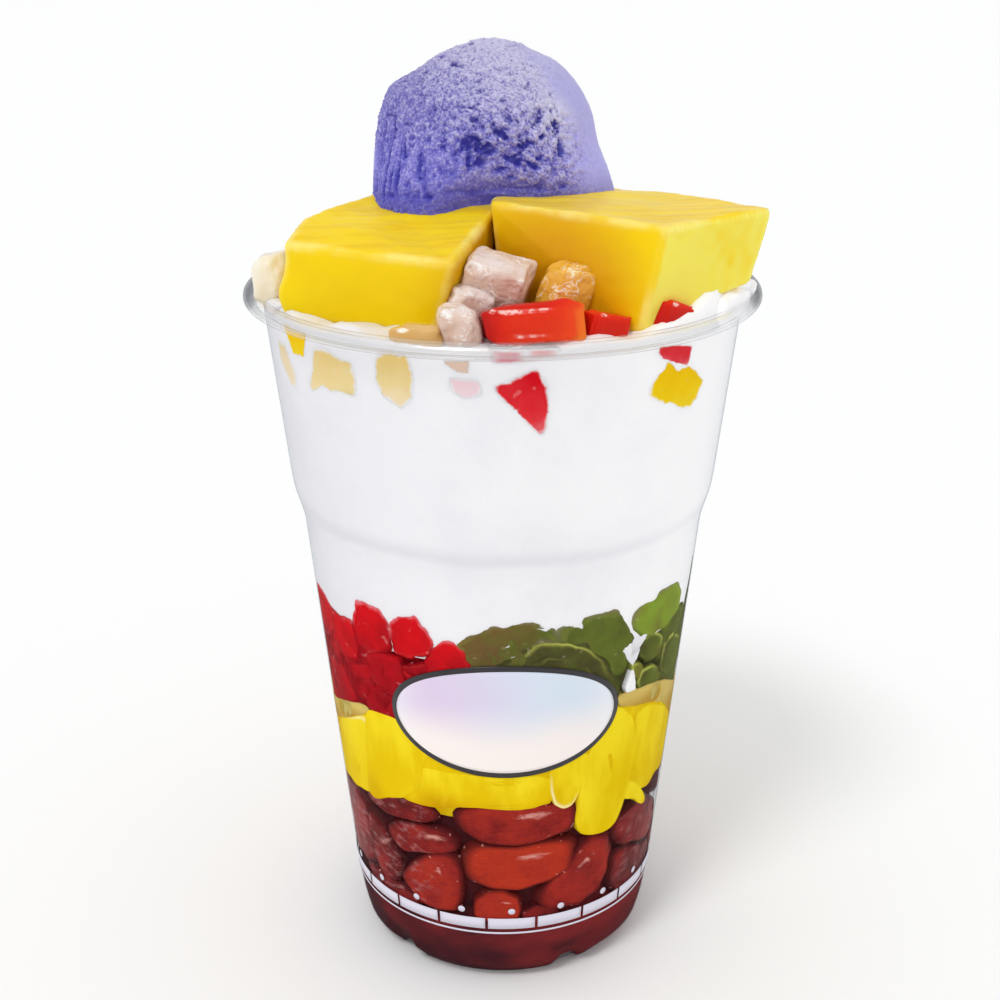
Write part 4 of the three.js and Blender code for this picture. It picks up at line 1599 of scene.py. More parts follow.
@dataclass
class FruitLayer:
    """Strips of jackfruit packed against the wall."""

    bottom: float = 42.0
    top: float = 62.0
    recess: float = 0.5
    behind: tuple[Corners, ...] = (
        ((-84, 52), (-75, 50.5), (-60, 54.8), (-50, 57.8), (-45, 59.8), (-45, 50), (-50, 40), (-60, 37.9),
            (-84, 36)),
        ((-30, 62), (0, 62.5), (28, 62), (30, 54), (15, 50), (0, 49), (-30, 50)),
        ((36, 62.5), (42, 61.4), (52, 60.6), (60, 58.4), (72, 53), (84, 48), (84, 38), (76, 38),
            (66, 39.6), (60, 38), (50, 40), (40, 44), (34, 52)),
    )
    # Each front strip: its tone, the direction of its painted lit lip, and its outline.
    front: tuple[tuple[float, float | None, Corners], ...] = (
        (0.85, 20.0, ((-60, 54.6), (-50, 57.6), (-46.4, 58.8), (-48.4, 52), (-49, 46), (-52, 38.8),
            (-60, 38.2), (-72, 37.2), (-74, 44), (-70, 51))),
        (0.55, None, ((-47.5, 59.6), (-38, 60.2), (-28, 60), (-24, 55), (-26, 50.8), (-28, 46),
            (-35, 42.2), (-43, 40.4), (-47, 38.6), (-52.6, 38.4), (-51, 46), (-49.6, 53))),
        (0.52, None, ((-30, 50.6), (-15, 50.9), (0, 50.9), (12, 50.6), (16.4, 50), (15.4, 46.5),
            (16.5, 43.2), (10, 43.1), (-8, 43.5), (-15, 43.1), (-20, 42.3), (-30, 41.7), (-38, 42),
            (-40, 45), (-36, 49))),
        (0.6, 225.0, ((14.6, 52), (15, 47), (16.6, 43.4), (19.8, 41.9), (23, 42.4), (25, 45),
            (26.4, 48.4), (28.4, 53), (21, 56))),
        (0.75, None, ((28, 54), (26.6, 49), (25.4, 44), (25, 38), (27, 35.2), (31, 34.1), (37, 33.7),
            (42, 34.1), (44, 37.4), (46, 42), (47.6, 50), (45, 58), (38, 62.6), (31, 61.6))),
        (0.65, None, ((46, 59.6), (56, 58.6), (68, 54), (76, 50), (76, 42), (68, 40.2), (60, 40.6),
            (52, 43.4), (47, 48))),
        (0.9, None, ((44, 44), (50, 42), (56, 38), (60.4, 34.4), (57, 34.2), (51, 37.6), (44.6, 39.4),
            (42.6, 42))),
    )
    veils: tuple[Corners, ...] = (
        ((-44.6, 60.4), (-50, 60.2), (-58, 58.4), (-68, 56.2), (-68, 52.4), (-58, 54.9), (-50, 57.6)),
        ((-56, 59), (-70, 55.6), (-88, 52), (-88, 47.6), (-70, 51), (-56, 55.4)),
        ((36, 65.2), (44, 64.8), (50, 64.4), (57, 63.4), (60, 61), (57, 59), (50, 60.2), (44, 61),
            (38, 62.4)),
        ((52, 64), (62, 62.2), (72, 59), (86, 55), (86, 46), (72, 52), (62, 57.2), (53, 59.6)),
    )
    back: int = 9
    back_first: float = 92.0
    back_reach: float = 176.0
    back_height: float = 49.5
    back_width: float = 16.0
    back_tall: float = 22.0
    recess_shade_tone: float = 0.3
    wobble: float = 0.4
    top_lit_strip: int = 2

    def strips(self) -> list[Pebble]:
        """The strips behind, at the front and round the back."""
        # Painted shade: the recessed strips behind and the core take a darker tone.
        pebbles = [
            Pebble(
                corners, 6.0, 0.3, into=0.42, seed=i + 31, wobble=self.wobble, cuts=16, tone=self.recess_shade_tone,
            )
            for i, corners in enumerate(self.behind)
        ]
        for i, (tone, lit, corners) in enumerate(self.front):
            into = 0.45 + 0.012 * ((i * 3 + 1) % 7)
            # Painted light: each strip's tone grows upwards, the top-lit strip's much more, a painted
            # highlight along its top.
            rise = 2.2 if i == self.top_lit_strip else 0.5
            pebbles.append(
                Pebble(
                    corners, 7.0, 0.3, into=into, seed=i + 41, wobble=self.wobble, grain=0.18, cuts=20,
                    tone=tone, lit=lit, rise=rise,
                )
            )
        for i in range(self.back):
            angle = self.back_first + i * self.back_reach / (self.back - 1)
            height, tall = self.back_height + jitter(i, 2, 1.6), self.back_tall + jitter(i, 1, 3)
            corners = chunk_corners((angle, height, self.back_width, tall, jitter(i, 3, 18)), i + 3)
            pebbles.append(Pebble(corners, 7.0, 0.42, into=0.46 + 0.02 * (i % 2), seed=i + 51))
        return pebbles

    def build(self) -> None:
        """Makes the strips, the fruit behind them and the thin syrup at their top."""
        clay = heap(self.strips())
        clay.take(disc(self.bottom - 2, self.top, self.recess, self.recess_shade_tone))
        clay.place("jackfruit_strips", FRUIT, ["jackfruit"])
        veil = heap([
            Pebble(
                corners, 5.0, 0.36, into=0.53, seed=i + 71, cuts=16, soften=1, tone=0.4 + 0.06 * i, rise=3.0,
            )
            for i, corners in enumerate(self.veils)
        ])
        veil.place("fruit_syrup_veil", VEIL, ["jackfruit"])


class Side(Enum):
    """Which half of the jelly layer a jelly fills."""

    LEFT = -1
    RIGHT = 1


@dataclass
class JellyLayer:
    """One half of the jelly layer: lumps at the wall and the jelly behind them."""

    side: Side
    node: str
    finish: Finish
    split: float = -12.0
    bottom: float = 59.3
    core_top: float = 77.0
    recess: float = 0.6

    def core(self) -> Clay:
        """The half disc behind the lumps."""
        # Painted shade: the recessed core takes a dark tone.
        clay = disc(self.bottom, self.core_top, self.recess, 0.15)
        normal = Matrix.Rotation(math.radians(self.split), 3, "Z") @ Vector((1.0, 0.0, 0.0))
        geometry = clay.bm.verts[:] + clay.bm.edges[:] + clay.bm.faces[:]
        left = self.side is Side.LEFT
        cut = bmesh.ops.bisect_plane(
            clay.bm, geom=geometry, dist=0.0001, plane_co=(0, 0, 0), plane_no=normal,
            clear_outer=left, clear_inner=not left,
        )
        edges = [item for item in cut["geom_cut"] if isinstance(item, bmesh.types.BMEdge)]
        bmesh.ops.holes_fill(clay.bm, edges=edges)
        return clay.face_out()

    def pebbles(self) -> list[Pebble]:
        """The lumps at the wall, which each kind of jelly gives."""
        raise NotImplementedError

    def build(self) -> None:
        """Makes the jelly."""
        clay = heap(self.pebbles())
        clay.take(self.core())
        clay.place(self.node + "_lumps", self.finish, [self.node])


@dataclass
class RedJellyLayer(JellyLayer):
    """Small lumps of red jelly, packed close."""

    crown: tuple[Corners, ...] = (
        ((-49, 78), (-46.4, 83.4), (-41.6, 84.2), (-36, 83.4), (-33.4, 81.4), (-33.6, 76), (-41, 73),
            (-48, 74)),
        ((-33.4, 81.4), (-30.4, 83.6), (-25, 84.2), (-21.8, 82), (-19.8, 79.6), (-21, 76.6), (-27, 75),
            (-33, 75)),
        ((-20.4, 78), (-17, 79.8), (-14, 80.2), (-10.4, 78.2), (-9, 74), (-14, 71), (-22, 71), (-22.4, 75)),
        ((-78, 79), (-71, 80.2), (-66, 80), (-61.6, 78.4), (-60, 74), (-66, 71), (-78, 72)),
        ((-62, 78.2), (-56, 78), (-49.6, 78.8), (-47, 75), (-49, 70), (-56, 69), (-62, 71)),
    )
    rows: tuple[tuple[float, float, float, int], ...] = (
        (70.6, -75, 13.2, 5), (66.2, -68, 13.2, 4), (61.6, -76, 13.2, 4), (57.8, -82, 13.2, 3),
    )

    def pebbles(self) -> list[Pebble]:
        """The crown of bright lumps, the rows under it and the far side."""
        pebbles = [
            Pebble(
                c, 8.0, 0.42, into=0.42, seed=i + 60, soften=2, tone=0.75 + pick(i, 4) * 0.2, rise=0.15,
                fray=0.08, cuts=16,
            )
            for i, c in enumerate(self.crown)
        ]
        n = 0
        for height, first, step, count in self.rows:
            for i in range(count):
                n += 1
                angle = first + i * step + jitter(n, 4, 2)
                spec = (angle, height + jitter(n, 5, 0.8), 9.6, 8.8, jitter(n, 3, 30))
                corners = chunk_corners(spec, n + 80)
                pebbles.append(self.lump(corners, n))
        for level, row in enumerate((61.5, 68.0, 75.2)):
            for i in range(7):
                n += 1
                spec = (-90 - level * 5 - i * 14.2, row + jitter(n, 2, 1.4), 9.6, 9.8, jitter(n, 3, 35))
                corners = chunk_corners(spec, n + 80)
                pebbles.append(self.lump(corners, n))
        return pebbles

    @staticmethod
    def lump(corners: Corners, n: int) -> Pebble:
        """One lump under the crown or at the back."""
        tone = 0.2 + 0.5 * pick(n, 7)
        into = 0.31 + 0.1 * pick(n, 6)
        return Pebble(corners, 8.0, 0.45, into=into, seed=n + 80, soften=2, tone=tone, rise=0.2, fray=0.14)


@dataclass
class GreenJellyLayer(JellyLayer):
    """Larger folded pieces of green jelly, olive at their middle and bright at the right."""

    # Each front piece: its tone, how its tone slopes across it, the direction of its painted lit lip, how far
    # it lies into the wall, and its outline.
    front: tuple[tuple[float, float, float | None, float, Corners], ...] = (
        (0.48, 0.0, None, 0.35, ((15, 82.6), (19, 82.8), (22, 83.7), (27, 84.2), (33, 83.9), (36.2, 82),
            (38.4, 79.4), (40.8, 76.6), (40, 73), (37.4, 70), (30, 70), (18, 76))),
        (0.6, -0.14, None, 0.32, ((-14.5, 79.6), (-9, 81.6), (-4, 83.2), (2, 84.2), (8, 84.2),
            (13.6, 83.2), (16, 80), (12, 73), (-10, 73))),
        (0.26, 0.0, 80.0, 0.42, ((-4, 74), (4, 77.4), (8, 79.6), (12, 80.6), (18, 79.7), (24, 78),
            (30, 74.2), (35, 69), (38.6, 64.4), (25, 63), (0, 64))),
        (0.3, 0.05, None, 0.44, ((6, 75), (12, 77.2), (18, 76.8), (24, 74.6), (28, 71), (29, 66),
            (20, 64), (6, 66))),
        (0.52, 0.0, None, 0.3, ((-12, 77), (0, 80), (12, 80.5), (19, 81), (22, 77), (20, 68), (-10, 68))),
        (0.5, 0.0, None, 0.295, ((2, 81.6), (8, 83), (13, 82.8), (18, 81.4), (20, 78), (10, 76), (0, 78))),
        (0.35, 0.0, None, 0.3, ((54, 67), (64, 66), (76, 63), (86, 58), (86, 50), (70, 55), (54, 60))),
        (0.42, -0.1, None, 0.34, ((55, 76), (64, 77.8), (73, 76), (84, 72), (84, 60), (72, 60),
            (62, 64.6), (56, 68))),
        (0.95, 0.08, None, 0.48, ((39.4, 81.2), (43, 83.6), (50, 84.3), (60, 84), (64.4, 82), (66, 78),
            (60, 76), (52, 75.4), (46, 76), (42, 78.2))),
        (0.8, 0.0, 160.0, 0.44, ((41, 71), (45, 70.6), (47.4, 69), (45.4, 67), (42.4, 68))),
        (0.4, 0.2, 60.0, 0.46, ((43, 75.6), (50, 76.2), (55.4, 74), (54.6, 70), (48, 70), (44, 72.4))),
        (0.42, 0.2, 120.0, 0.43, ((46, 68.7), (52, 68.4), (57, 66), (55, 62.4), (47, 63), (44.4, 66.4))),
        (0.45, 0.2, 95.0, 0.4, ((57, 72), (64, 72.4), (72, 69), (74, 64), (64, 62.4), (56, 66))),
    )

    def pebbles(self) -> list[Pebble]:
        """The pieces at the front by their outlines, and the far side."""
        pebbles = []
        for i, (tone, slope, lit, into, corners) in enumerate(self.front):
            pebbles.append(
                Pebble(
                    corners, 8.0, 0.45, into=into, seed=i + 200, cuts=20, wobble=0.9, tone=tone, slope=slope,
                    lit=lit, soften=2, fray=0.06,
                )
            )
        for i in range(9):
            spec = (84 + i * 11, 77.2 + jitter(i, 1, 1.4), 11, 13, jitter(i, 2, 26))
            pebbles.append(Pebble(chunk_corners(spec, i + 31), 7.0, 0.5, into=0.44, seed=i + 231))
            spec = (88 + i * 11, 66.4 + jitter(i, 3, 1), 12, 11, jitter(i, 4, 26))
            pebbles.append(Pebble(chunk_corners(spec, i + 51), 7.0, 0.5, into=0.425, seed=i + 251))
        return pebbles


# ----------------------------------------------------------------------------------- milk, slabs


@dataclass
class MilkBody:
    """Coconut milk and fine ice from the jelly to the brim."""

    bottom: float = 75.5
    level: float = 137.0
    notch_angle: float = 41.0
    notch_depth: float = 4.5
    lap: float = 0.28
    mounds: tuple[tuple[float, float, float, float], ...] = (
        (43, -13, 7.6, 8),
        (30, 8, 3, 9),
        (-2, 15, 15, 13.5),
        (-30, 6, 3, 9),
        (38, -24, 5.2, 6),
        (30, -33.5, 1.5, 4.5),
        (-24, -33.5, 1.3, 5),
        (-36, -22, 1.2, 4.5),
        (14, -38, 0.8, 5),
    )
    gaps: tuple[Corners, ...] = (
        ((40.4, 76.6), (42.4, 76.4), (44.6, 76.8), (46.6, 76.4), (44.4, 74.8), (42.6, 73.6), (40.4, 72.8)),
        ((41.4, 70.6), (42.6, 68.6), (43.4, 67), (44, 64.8), (42.4, 64.2), (40.6, 64.4), (39.4, 66.2),
            (40.6, 68.4)),
    )
    spills: tuple[tuple[Point, Point, float], ...] = (
        ((40.7, -17.6, 138.5), (5.6, 17, 7), -23.0),
        ((42.6, -12.8, 140), (4.8, 10.4, 8.8), -16.0),
        ((44.7, -8.8, 139), (4.4, 9, 3), -11.0),
        ((-40.4, -15.2, 137.8), (5.4, 10, 3), 20.0),
    )
    rings: int = 46
    steps: int = 220

    def top(self, x: float, y: float) -> float:
        """Height of the milk's surface."""
        height = self.level + 0.35 * math.sin(x * 0.31 + 1) * math.cos(y * 0.27)
        for mx, my, tall, spread in self.mounds:
            height += tall * math.exp(-((x - mx) ** 2 + (y - my) ** 2) / (2 * spread**2))
        rough = noise.fractal(Vector((x * 0.16, y * 0.16, 3.0)), 0.6, 2.0, 4)
        return height + rough * 0.7

    def build(self) -> None:
        """Makes the milk."""
        wall_top = WALL.inner(self.level) + self.lap
        profile = [(0.0, self.bottom), (WALL.inner(self.bottom) - 10, self.bottom)]
        profile += [(WALL.inner(z) + self.lap, z) for z in CUP.heights(self.bottom, self.level - 0.6)]
        profile += [(wall_top * (1 - i / self.rings), self.level) for i in range(self.rings + 1)]

        def move(p: Vector) -> Vector:
            if p.z > self.level - 0.01:
                edge = ease(wall_top + 0.01, wall_top - 1.2, math.hypot(p.x, p.y))
                least = 0.4 + 0.35 * ease(20, 32, p.x)
                low = self.level - 0.1
                return Vector((p.x, p.y, low + (self.top(p.x, p.y) - low) * (least + (1 - least) * edge)))
            if p.z < self.bottom + 0.01 and math.hypot(p.x, p.y) > WALL.inner(self.bottom) - 5:
                angle = math.degrees(math.atan2(p.x, -p.y))
                return p - Vector((0, 0, self.notch_depth * bell(angle, self.notch_angle, 3.0)))
            return p

        clay = turned(profile, self.steps).warp(move)
        for i, corners in enumerate(self.gaps):
            clay.take(Pebble(corners, 4.0, 0.3, into=0.5, seed=i + 300, cuts=14, wobble=0.1, fray=0.1).clay())
        for i, (middle, size, heading) in enumerate(self.spills):
            spill = Lump(size, square=0.85, cuts=20, wobble=0.1, grain=1.3, seed=i + 310).clay()
            turn = Matrix.Rotation(math.radians(heading), 3, "Z")
            spill.warp(lambda p: turn @ p + Vector(middle)).swell(lambda p, n: 0.3 * noise.noise(p * 0.6))
            clay.take(spill)
        clay.place("milk", MILK, ["coconut_milk"])


@dataclass
class Slab:
    """One slab of custard, between a top and a bottom outline."""

    node: str
    top: tuple[tuple[float, float], ...]
    bottom: tuple[tuple[float, float], ...]
    top_height: Callable[[float, float], float]
    bottom_height: Callable[[float, float], float]
    lit_side: float = 0.0
    left_bulge: float = 0.0
    bevel: float = 0.5
    voxel: float = 0.36
    full: float = 0.45
    wave: float = 0.55
    ripple: float = 0.12
    seed: float = 0.0

    def clay(self) -> Clay:
        """The slab with eased edges and a slightly uneven surface."""
        clay = Clay()
        upper = [clay.bm.verts.new((x, y, self.top_height(x, y))) for x, y in self.top]
        face = clay.bm.faces.new(upper)
        grown = bmesh.ops.extrude_face_region(clay.bm, geom=[face])
        lower = [item for item in grown["geom"] if isinstance(item, bmesh.types.BMVert)]
        pairs = {tuple(round(c, 3) for c in vert.co.xy): vert for vert in lower}
        for (x, y), (bx, by) in zip(self.top, self.bottom):
            vert = pairs[(round(x, 3), round(y, 3))]
            vert.co = Vector((bx, by, self.bottom_height(bx, by)))
        clay.face_out()
        bmesh.ops.bevel(
            clay.bm, geom=clay.bm.edges[:] + clay.bm.verts[:], offset=self.bevel, segments=4,
            profile=0.5, affect="EDGES", material=-1,
        )
        bmesh.ops.triangulate(clay.bm, faces=clay.bm.faces)
        clay.remesh(self.voxel, 1)
        shift = Vector((self.seed, 0, 0))
        full, wave, ripple = self.full, self.wave, self.ripple
        clay.swell(lambda p, n: full + wave * noise.noise(p * 0.09 + shift) + ripple * noise.noise(p * 0.4))
        bulge = self.left_bulge
        clay.warp(
            lambda p: p - Vector((bulge * bell(p.z, 141, 4) * ease(-28, -38, p.x) * ease(0, -14, p.y), 0, 0))
        )
        return self.mark(clay)

    def mark(self, clay: Clay) -> Clay:
        """Writes which points are on top, which on an edge and how much each faces the painted light on the
        right.
        """
        clay.bm.normal_update()
        rim, top, side = clay.layer("rim"), clay.layer("top"), clay.layer("side")
        for vert in clay.bm.verts:
            vert[side] = self.lit_side * ease(0.25, 0.6, vert.normal.x)
            vert[top] = ease(0.75, 0.95, vert.normal.z)
            bent = max((vert.normal.angle(e.other_vert(vert).normal, 0.0) for e in vert.link_edges))
            vert[rim] = ease(0.12, 0.32, bent) * ease(-0.5, 0.2, vert.normal.z)
        for _ in range(2):
            smoothed = {}
            for vert in clay.bm.verts:
                around = [e.other_vert(vert)[rim] for e in vert.link_edges]
                smoothed[vert] = (vert[rim] + sum(around)) / (1 + len(around))
            for vert, value in smoothed.items():
                vert[rim] = value
        return clay

    def build(self) -> None:
        """Makes the slab."""
        self.clay().place(self.node + "_slab", CUSTARD, [self.node])


def slabs() -> list[Slab]:
    """The two slabs, as they lie over the brim."""
    left = Slab(
        "custard_left",
        ((-37.4, -25), (-8.4, -33.2), (-1.5, -12.5), (-1.1, 14.4), (-24.1, -4), (-35.2, -15.4)),
        ((-37.6, -22.4), (-11.4, -32), (-3.2, -14), (-2.0, 13.5), (-22, -5), (-33.5, -15)),
        lambda x, y: min(150.5 + 0.3 * max(y + 25, 0) + 0.2 * min(y + 25, 0), 155.2),
        lambda x, y: 137.0,
        left_bulge=1.9,
    )
    right = Slab(
        "custard_right",
        ((27.1, -33.9), (46.4, -22.4), (28.9, 0), (12.9, 20.5), (-0.9, 21), (-1.8, -18)),
        ((23.6, -33.8), (43.6, -20.4), (27.5, -1), (12.4, 18.5), (0, 19), (0.2, -18.6)),
        lambda x, y: max(min(155 + 0.09 * (y + 34), 156.8) - 0.28 * max(y + 6, 0), 153.3),
        lambda x, y: 137.2 + 0.31 * max(x - 24, 0),
        lit_side=1.0,
        seed=7.0,
    )
    return [left, right]


# ---------------------------------------------------------------------------------------- scoop


@dataclass
class UbeScoop:
    """The scoop of ube ice cream: a craggy dome with dragged grooves on its left.

    Its front is at angle 0, as on the cup, and a share of its height is 0 at its base and 1 at its top.
    """

    middle: tuple[float, float] = (-2.4, 9.2)
    base: float = 152.8
    top: float = 182.2
    left: float = 21.9
    right: float = 24.2
    lean: float = 7.6
    depth: float = 21.6
    front_left: float = 24.2
    front_right: float = 17.6
    cuts: int = 127
    turn: float = 0.66
    box: float = 0.45
    grain_height: float = 0.42
    lump_height: float = 0.3
    fine_height: float = 0.16
    groove_depth: float = 1.15
    crag_depth: float = 1.3
    crag_rise: float = 0.7
    crack_depth: float = 0.5
    crevice_rise: float = 4.6
    crevice_width: float = 0.55
    back_angle: float = 120.0
    flat_base: float = 0.4

    def dome(self, p: Vector) -> Vector:
        """A point of a unit ball moved to the plain dome."""
        around = math.atan2(p.y, p.x)
        polar = math.acos(max(min(p.z, 1.0), -1.0)) / math.pi
        t = math.cos(min(polar / self.turn, 1.0) * math.pi / 2) ** 0.9
        right = (math.cos(around) + 1) / 2
        left_side = self.left * math.sqrt(max(1 - t**3.9, 0))
        left_side -= 3.0 * ease(0.7, 0.83, t) * ease(1.0, 0.97, t)
        right_side = (self.right - self.lean * t) * math.sqrt(max(1 - t**4.6, 0))
        right_side -= 0.8 * bell(t, 0.36, 0.14) + 1.2 * bell(t, 0.93, 0.04)
        side = left_side + (right_side - left_side) * right
        side *= 1 - (1 - self.depth / self.left) * math.sin(around) ** 2
        under = 1 - max((polar - self.turn) / (1 - self.turn), 0.0)
        across, ahead = math.cos(around), math.sin(around)
        x, y = side * across, side * ahead
        if ahead < 0:
            low = 1 - ease(0.0, 0.55, t)
            wide = side * math.copysign(abs(across) ** self.box, across)
            reach = self.front_left - (self.front_left - self.front_right) * ease(-12.0, 2.0, wide)
            deep = -reach * abs(ahead) ** self.box * math.sqrt(max(1 - t**2.9, 0))
            x += (wide - x) * low
            y += (deep - y) * low
        rise = self.base + t * (self.top - self.base)
        return Vector((self.middle[0] + x * under, self.middle[1] + y * under, rise))

    def around(self, p: Vector) -> float:
        """A point's angle from the scoop's front, in degrees."""
        return math.degrees(math.atan2(p.x - self.middle[0], self.middle[1] - p.y))

    def up(self, p: Vector) -> float:
        """A point's share of the scoop's height."""
        return (p.z - self.base) / (self.top - self.base)

    def calm(self, p: Vector) -> float:
        """1 on the smooth flank at the right, 0 on the grainy rest."""
        around = self.around(p)
        edge = around + noise.noise(p * 0.14) * 14
        flank = ease(36, 52, edge) * (1 - ease(118, 140, edge))
        lobe = bell(around, -72, 12) * (1 - ease(0.25, 0.45, (p.z - self.base) / 28))
        return max(flank, lobe) * ease(1.0, 0.6, self.up(p) - 0.1)

    def grain(self, p: Vector) -> float:
        """Height of the grains and small lumps."""
        grains = 1 - noise.voronoi(p * 1.25)[0][0]
        lumps = 1 - noise.voronoi(p * 0.6)[0][0]
        fine = noise.fractal(p * 1.6, 0.8, 2.1, 3)
        return self.grain_height * (grains - 0.6) + self.lump_height * (lumps - 0.6) + self.fine_height * fine

    def groove(self, p: Vector) -> float:
        """Depth of the grooves that the spoon dragged along the left side."""
        around = self.around(p)
        dragged = 1 - ease(-46, -14, around) if abs(around) < self.back_angle else 0.4
        slant = around + (p.z - self.base) * 0.9
        wave = noise.noise(Vector((slant * 0.22, p.z * 0.09, 4.0)))
        wave += 0.7 * noise.noise(Vector((slant * 0.5, p.z * 0.2, 9.0)))
        return dragged * self.groove_depth * ease(0.05, 0.6, wave) * (1 - ease(0.45, 0.72, self.up(p)))

    def crags(self, p: Vector, calm: float) -> float:
        """Height of the torn crags low at the front, and of the cracks all round."""
        around, up = self.around(p), self.up(p)
        torn = ease(-34, -6, around) * (1 - ease(46, 60, around)) if abs(around) < self.back_angle else 0.5
        torn *= (1 - ease(0.46, 0.7, up)) * (1 - 0.7 * calm) * ease(0.14, 0.34, up)
        pits = noise.fractal(p * 0.42 + Vector((5, 1, 2)), 0.7, 2.2, 4)
        cracks = noise.noise(Vector((p.x * 0.5, p.y * 0.5, p.z * 1.1)) + Vector((9, 4, 7)))
        height = torn * (self.crag_rise * noise.noise(p * 0.9) - self.crag_depth * ease(0.1, 0.6, pits))
        return height - self.crack_depth * ease(0.3, 0.6, cracks) * (1 - calm) * (1 - 0.5 * torn)

    def crevice(self, p: Vector) -> float:
        """Depth of the crevice over the foot, along the front."""
        around, x = self.around(p), p.x - self.middle[0]
        line = self.base + self.crevice_rise + 0.03 * x + 0.5 * noise.noise(Vector((x * 0.25, 3.0, 1.0)))
        front = ease(-52, -36, around) * (1 - ease(30, 48, around))
        deep = 0.35 + 0.7 * noise.noise(Vector((x * 0.4, 8.0, 1.0)))
        return bell(p.z, line, self.crevice_width) * front * deep

    def build(self) -> None:
        """Makes the scoop."""
        clay = grid_ball(self.cuts).warp(self.dome)
        clay.bm.normal_update()
        crag_layer, calm_layer = clay.layer("crag"), clay.layer("calm")
        raised = []
        for vert in clay.bm.verts:
            p = vert.co
            calm = self.calm(p)
            height = self.grain(p) * (1 - 0.85 * calm) - self.groove(p)
            height = height + self.crags(p, calm) - self.crevice(p)
            if p.z < self.base + self.flat_base:
                height = min(height, 0.0)
            vert[crag_layer] = ease(-1.6, 0.35, height)
            vert[calm_layer] = calm
            raised.append((vert, p + vert.normal * height))
        for vert, place in raised:
            vert.co = place
        clay.place("ube_ice_cream", UBE, ["ube_scoop"])


# ------------------------------------------------------------------------------------- toppings


@dataclass
class Topping:
    """A piece on top of the milk."""

    node: str
    finish: Finish
    at: Point
    size: Point
    turn: Point = (0.0, 0.0, 0.0)
    square: float = 0.36
    tone: float | None = None
    fall: Point = SKY_FALL
    glances: Glances = SKY_GLANCE

    def build(self, seed: int) -> None:
        """Makes the piece."""
        lump = Lump(
            self.size, self.square, cuts=22, wobble=0.07, grain=1.8, seed=seed, tone=self.tone,
            fall=self.fall, glances=self.glances,
        ).clay()
        turn = Euler([math.radians(a) for a in self.turn]).to_matrix()
        shear = jitter(seed, 3, 0.16)

        def move(p: Vector) -> Vector:
            slanted = Vector((p.x + shear * p.z, p.y, p.z + shear * 0.6 * p.x))
            return turn @ slanted + Vector(self.at)

        lump.warp(move)
        lump.swell(lambda p, n: 0.14 * noise.noise(p * 0.55))
        lump.place(self.node + "_piece", self.finish, [self.node])


@dataclass
class SunkPiece:
    """A piece in the milk that shows through the wall, by its outline there."""

    name: str
    finish: Finish
    corners: Corners
    into: float = 0.3
    tone: float = 0.45

    def build(self, seed: int) -> None:
        """Makes the piece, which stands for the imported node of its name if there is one."""
        pebble = Pebble(
            self.corners, 5.0, 0.42, into=self.into, seed=seed, soften=1, cuts=18, wobble=0.3,
            tone=self.tone, rise=-0.4, fray=0.1,
        )
        nodes = [] if self.name.startswith("faint") else [self.name]
        pebble.clay().place(self.name + "_piece", self.finish, nodes)


def toppings() -> list[Topping]:
    """The pieces over the rim, front and back."""
    return [
        Topping(
            "jelly_red_front", RED_WET, (5.2, -37.6, 139.6), (16.8, 8.4, 7.4), (-14, -6, 4), tone=0.5,
            fall=(0.42, 0.0, -0.26),
            # Painted highlights: patches of light on the front face's upper edge.
            glances=(
                (-0.12, -0.92, 0.36, 0.22), (-0.5, -0.75, 0.42, 0.16), (-0.04, -0.98, -0.12, 0.07),
            ),
        ),
        Topping("nata_middle", NATA, (-1.2, -27.2, 144), (11.6, 9, 10.6), (12, 16, -14), 0.42),
        Topping("nata_middle_low", NATA, (-6.2, -30.4, 140.8), (8, 8, 7), (0, 20, 20), 0.5),
        Topping("palm_front", NATA, (-7.2, -38.6, 139.1), (7.6, 6.6, 8.4), square=0.75),
        Topping("jelly_orange_front", ORANGE, (10.6, -28.6, 142.2), (8.6, 7, 12), (4, 12, 30), 0.5),
        Topping("jelly_red_small", RED_WET, (17.4, -34.6, 138.4), (8, 4.6, 5), (0, 18, 30)),
        Topping("jelly_red_right", RED_WET, (28.8, -30.4, 138.5), (7, 4.8, 6.6), (0, 20, 42)),
        Topping("nata_left", AMBER, (-14.4, -39.4, 137.6), (9.4, 4.8, 5.2), (0, 0, -20), 0.7),
        Topping("palm_left", PALM, (-41.6, -13.4, 142.2), (6.6, 8.6, 9.4), (0, -8, -16), 0.65),
        Topping("palm_left_far", PALM, (-41.8, -4.6, 141.2), (6, 7.6, 7.4), square=0.7),
        Topping("jelly_red_back", RED_WET, (-16, 33.6, 141.6), (10.4, 8.8, 8.6), (14, 6, 24)),
        Topping("nata_back", NATA, (3.4, 37.2, 141.8), (10.8, 9.4, 9.6), (-8, 12, 10)),
        Topping("palm_back", PALM, (18.6, 33, 142), (8.6, 7.4, 8.2), square=0.7),
        Topping("fruit_back", FRUIT_WET, (31.4, 22.6, 141.8), (12, 6.4, 8.4), (0, 10, -50)),
        Topping("jelly_green_back", GREEN_WET, (-30.4, 21.6, 141.4), (10, 8, 7.6), (0, -10, 40)),
        Topping("jelly_orange_back", ORANGE, (-7, 28.2, 146.4), (8.6, 7.6, 7), (6, -8, 15)),
    ]


